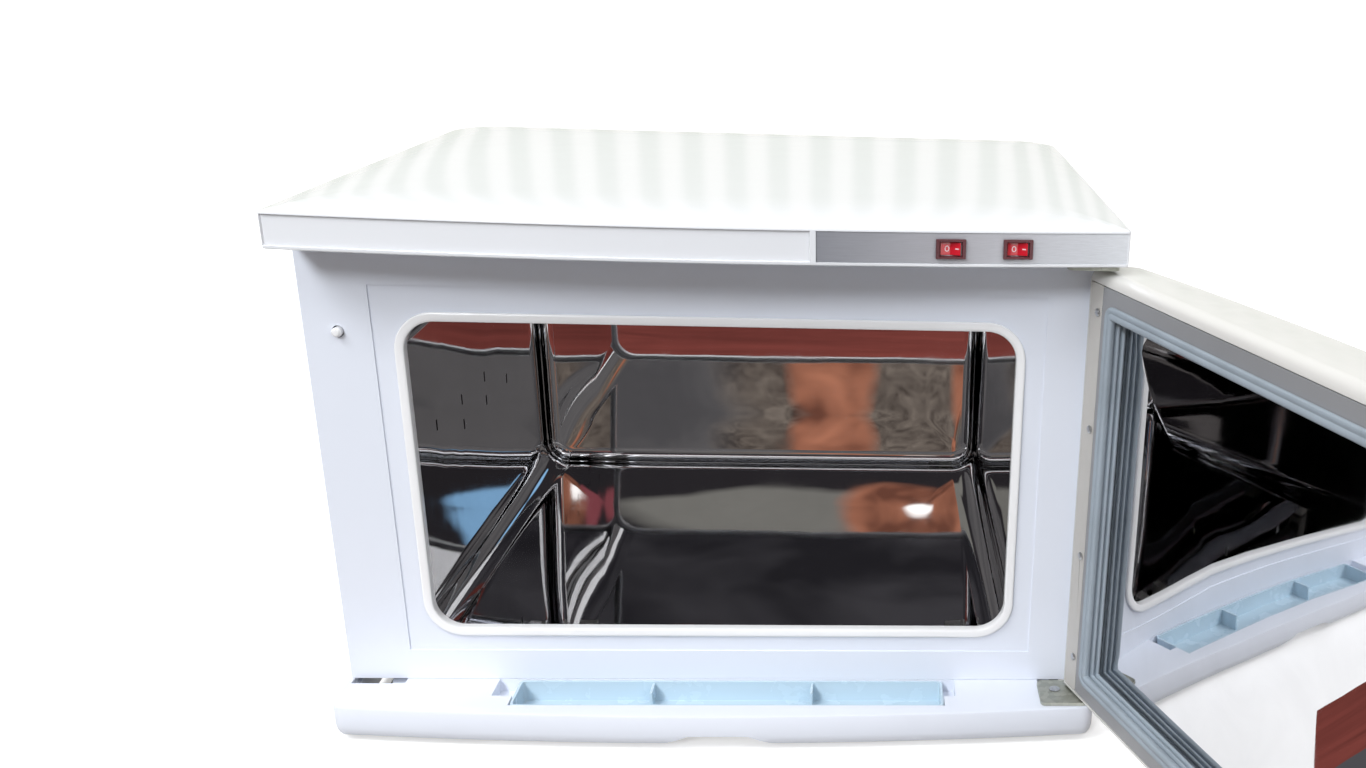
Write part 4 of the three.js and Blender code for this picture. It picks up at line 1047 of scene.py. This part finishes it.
def dim_room():
    """The unlit side of the room: a grey wall, dark above, with what stands or hangs there."""
    n = Nodes("dim_room")
    shapes = n.noise(2.2, 4, 0.6, distortion=0.8)
    wall = n.ramp(shapes, [(0.4, (0.13, 0.125, 0.13)), (0.6, (0.2, 0.19, 0.19))])
    tone = n.mix(n.remap(n.axis("Z"), 0, 1, 1.02, 1.1), wall, DARKNESS)
    tone = n.mix(spot(n, -0.35, 1.29, 0.42, 0.1), tone, PALE_WALL)
    folds = n.noise(14, 5, 0.7, distortion=1.5)
    cloth = n.ramp(folds, [(0.35, (0.09, 0.07, 0.06)), (0.65, (0.36, 0.3, 0.25))])
    tone = n.mix(spot(n, -0.06, 0.85, 0.38, 0.3), tone, cloth)
    sheen = n.noise(5, 2, 0.5, distortion=0.6)
    copper = n.ramp(sheen, [(0.35, (0.26, 0.10, 0.065)), (0.65, (0.8, 0.32, 0.19))])
    tone = n.mix(spot(n, -0.13, 0.82, 0.12, 0.24), tone, copper)
    tone = n.mix(spot(n, 0.03, 1.28, 0.15, 0.15), tone, copper)
    tone = n.mix(spot(n, 0.1, 1.25, 0.05, 0.04), tone, WINDOW)
    tone = n.mix(spot(n, 0.19, 1.27, 0.05, 0.14), tone, RED_CLOTH)
    tone = n.mix(spot(n, 0.83, 1.26, 0.12, 0.08), tone, BLUE_SIGN)
    return glowing(n, tone)


def pale_blinds():
    """The window's blinds behind the cabinet, which its glossy roof mirrors as soft stripes."""
    n = Nodes("pale_blinds")
    stripes = n.math("SINE", n.math("MULTIPLY", n.axis("X"), 62))
    soft = n.remap(stripes, 0, 1, -1, 1)
    return glowing(n, n.ramp(soft, [(0.2, (0.76, 0.79, 0.72)), (0.8, (0.93, 0.93, 0.88))]))


floor_corners = lying(-FLOOR_REACH, FLOOR_REACH, -FLOOR_REACH, FLOOR_REACH)
floor = stage_plane("floor", floor_corners, floor_material())
floor.visible_diffuse = False
backdrop = ring_wall("backdrop", FLOOR_REACH * 0.98, FLOOR_REACH, white_paper())
backdrop.visible_diffuse = backdrop.visible_glossy = backdrop.visible_shadow = False
ground_corners = lying(GROUND["left"], GROUND["right"], ROOM["y"], GROUND["far"], GROUND["height"])
board_corners = standing(BOARD["left"], BOARD["right"], BOARD["y"], 0, BOARD["height"])
room_corners = standing(-ROOM["half"], ROOM["half"], ROOM["y"], 0, ROOM["height"])
blinds_corners = standing(-BLINDS["half"], BLINDS["half"], BLINDS["y"], 0, BLINDS["height"])
stage_plane("dark_ground", ground_corners, dark_ground(), glossy_only=True)
stage_plane("brown_board", board_corners, brown_board(), glossy_only=True)
stage_plane("dim_room", room_corners, dim_room(), glossy_only=True)
stage_plane("pale_blinds", blinds_corners, pale_blinds(), glossy_only=True)


def area_light(name, at, toward, size, power, colour):
    """A rectangular light at one point, turned toward another; the size is width and height."""
    data = bpy.data.lights.new(name, "AREA")
    data.shape, data.size, data.size_y = "RECTANGLE", *size
    data.energy, data.color = power, colour
    light = bpy.data.objects.new(name, data)
    bpy.context.collection.objects.link(light)
    light.location = at
    light.rotation_euler = (Vector(toward) - Vector(at)).to_track_quat("-Z", "Y").to_euler()
    return light


def sun_light(name, azimuth, elevation, width, strength, colour=DAYLIGHT):
    """A far light, all its angles in degrees: azimuth 0 is straight in front of the cabinet,
    and positive to its right."""
    data = bpy.data.lights.new(name, "SUN")
    data.angle, data.energy, data.color = math.radians(width), strength, colour
    light = bpy.data.objects.new(name, data)
    bpy.context.collection.objects.link(light)
    turn, lift = math.radians(azimuth), math.radians(elevation)
    level = math.cos(lift)
    toward = Vector((-math.sin(turn) * level, math.cos(turn) * level, -math.sin(lift)))
    light.rotation_euler = toward.to_track_quat("-Z", "Y").to_euler()
    return light


MIDDLE = place(0, 100, 150)
sun_light("low_window", -22, 31, 13, 1.4)
sun_light("right_window", 38, 40, 25, 0.7)
sun_light("rear_window", 155, 28, 40, 0.6)
high_front = area_light("high_front", (-1.3, -1.0, 1.9), MIDDLE, (1.0, 0.8), 28, (0.96, 0.98, 1.0))
high_front.visible_glossy = False
sun_light("overhead", 0, 84, 60, 0.75, (1.0, 0.995, 0.98))

world = bpy.data.worlds.new("studio")
bpy.context.scene.world = world
world.use_nodes = True
background = world.node_tree.nodes["Background"]
background.inputs["Color"].default_value = (*WARM_ROOM, 1)
background.inputs["Strength"].default_value = 0.3

# ---------------------------------------------------------------- camera

# The camera's place is in the cabinet's millimetres, and its lens in millimetres.
CAMERA_AT = (90.61, -737.55, 445.24)
CAMERA_PITCH = math.radians(20.39)
CAMERA_ROLL = math.radians(-2.07)
CAMERA_YAW = math.radians(-3.91)
LENS = 35.53
SHIFT = (-0.2036, 0.0555)


def make_camera():
    """The camera looks along +Y, then turns right, pitches down and rolls by the angles above."""
    data = bpy.data.cameras.new("camera")
    data.sensor_width, data.lens = 36, LENS
    data.shift_x, data.shift_y = SHIFT
    data.clip_start, data.clip_end = 0.01, 100
    camera = bpy.data.objects.new("camera", data)
    bpy.context.collection.objects.link(camera)
    turn = (
        Matrix.Rotation(CAMERA_YAW, 3, "Z")
        @ Matrix.Rotation(-CAMERA_PITCH, 3, "X")
        @ Matrix.Rotation(CAMERA_ROLL, 3, "Y")
    )
    right, forward = turn @ Vector((1, 0, 0)), turn @ Vector((0, 1, 0))
    matrix = Matrix((right, right.cross(forward), -forward)).transposed().to_4x4()
    matrix.translation = place(*CAMERA_AT)
    camera.matrix_world = matrix
    bpy.context.scene.camera = camera


make_camera()
bpy.context.scene.view_settings.view_transform = "Standard"
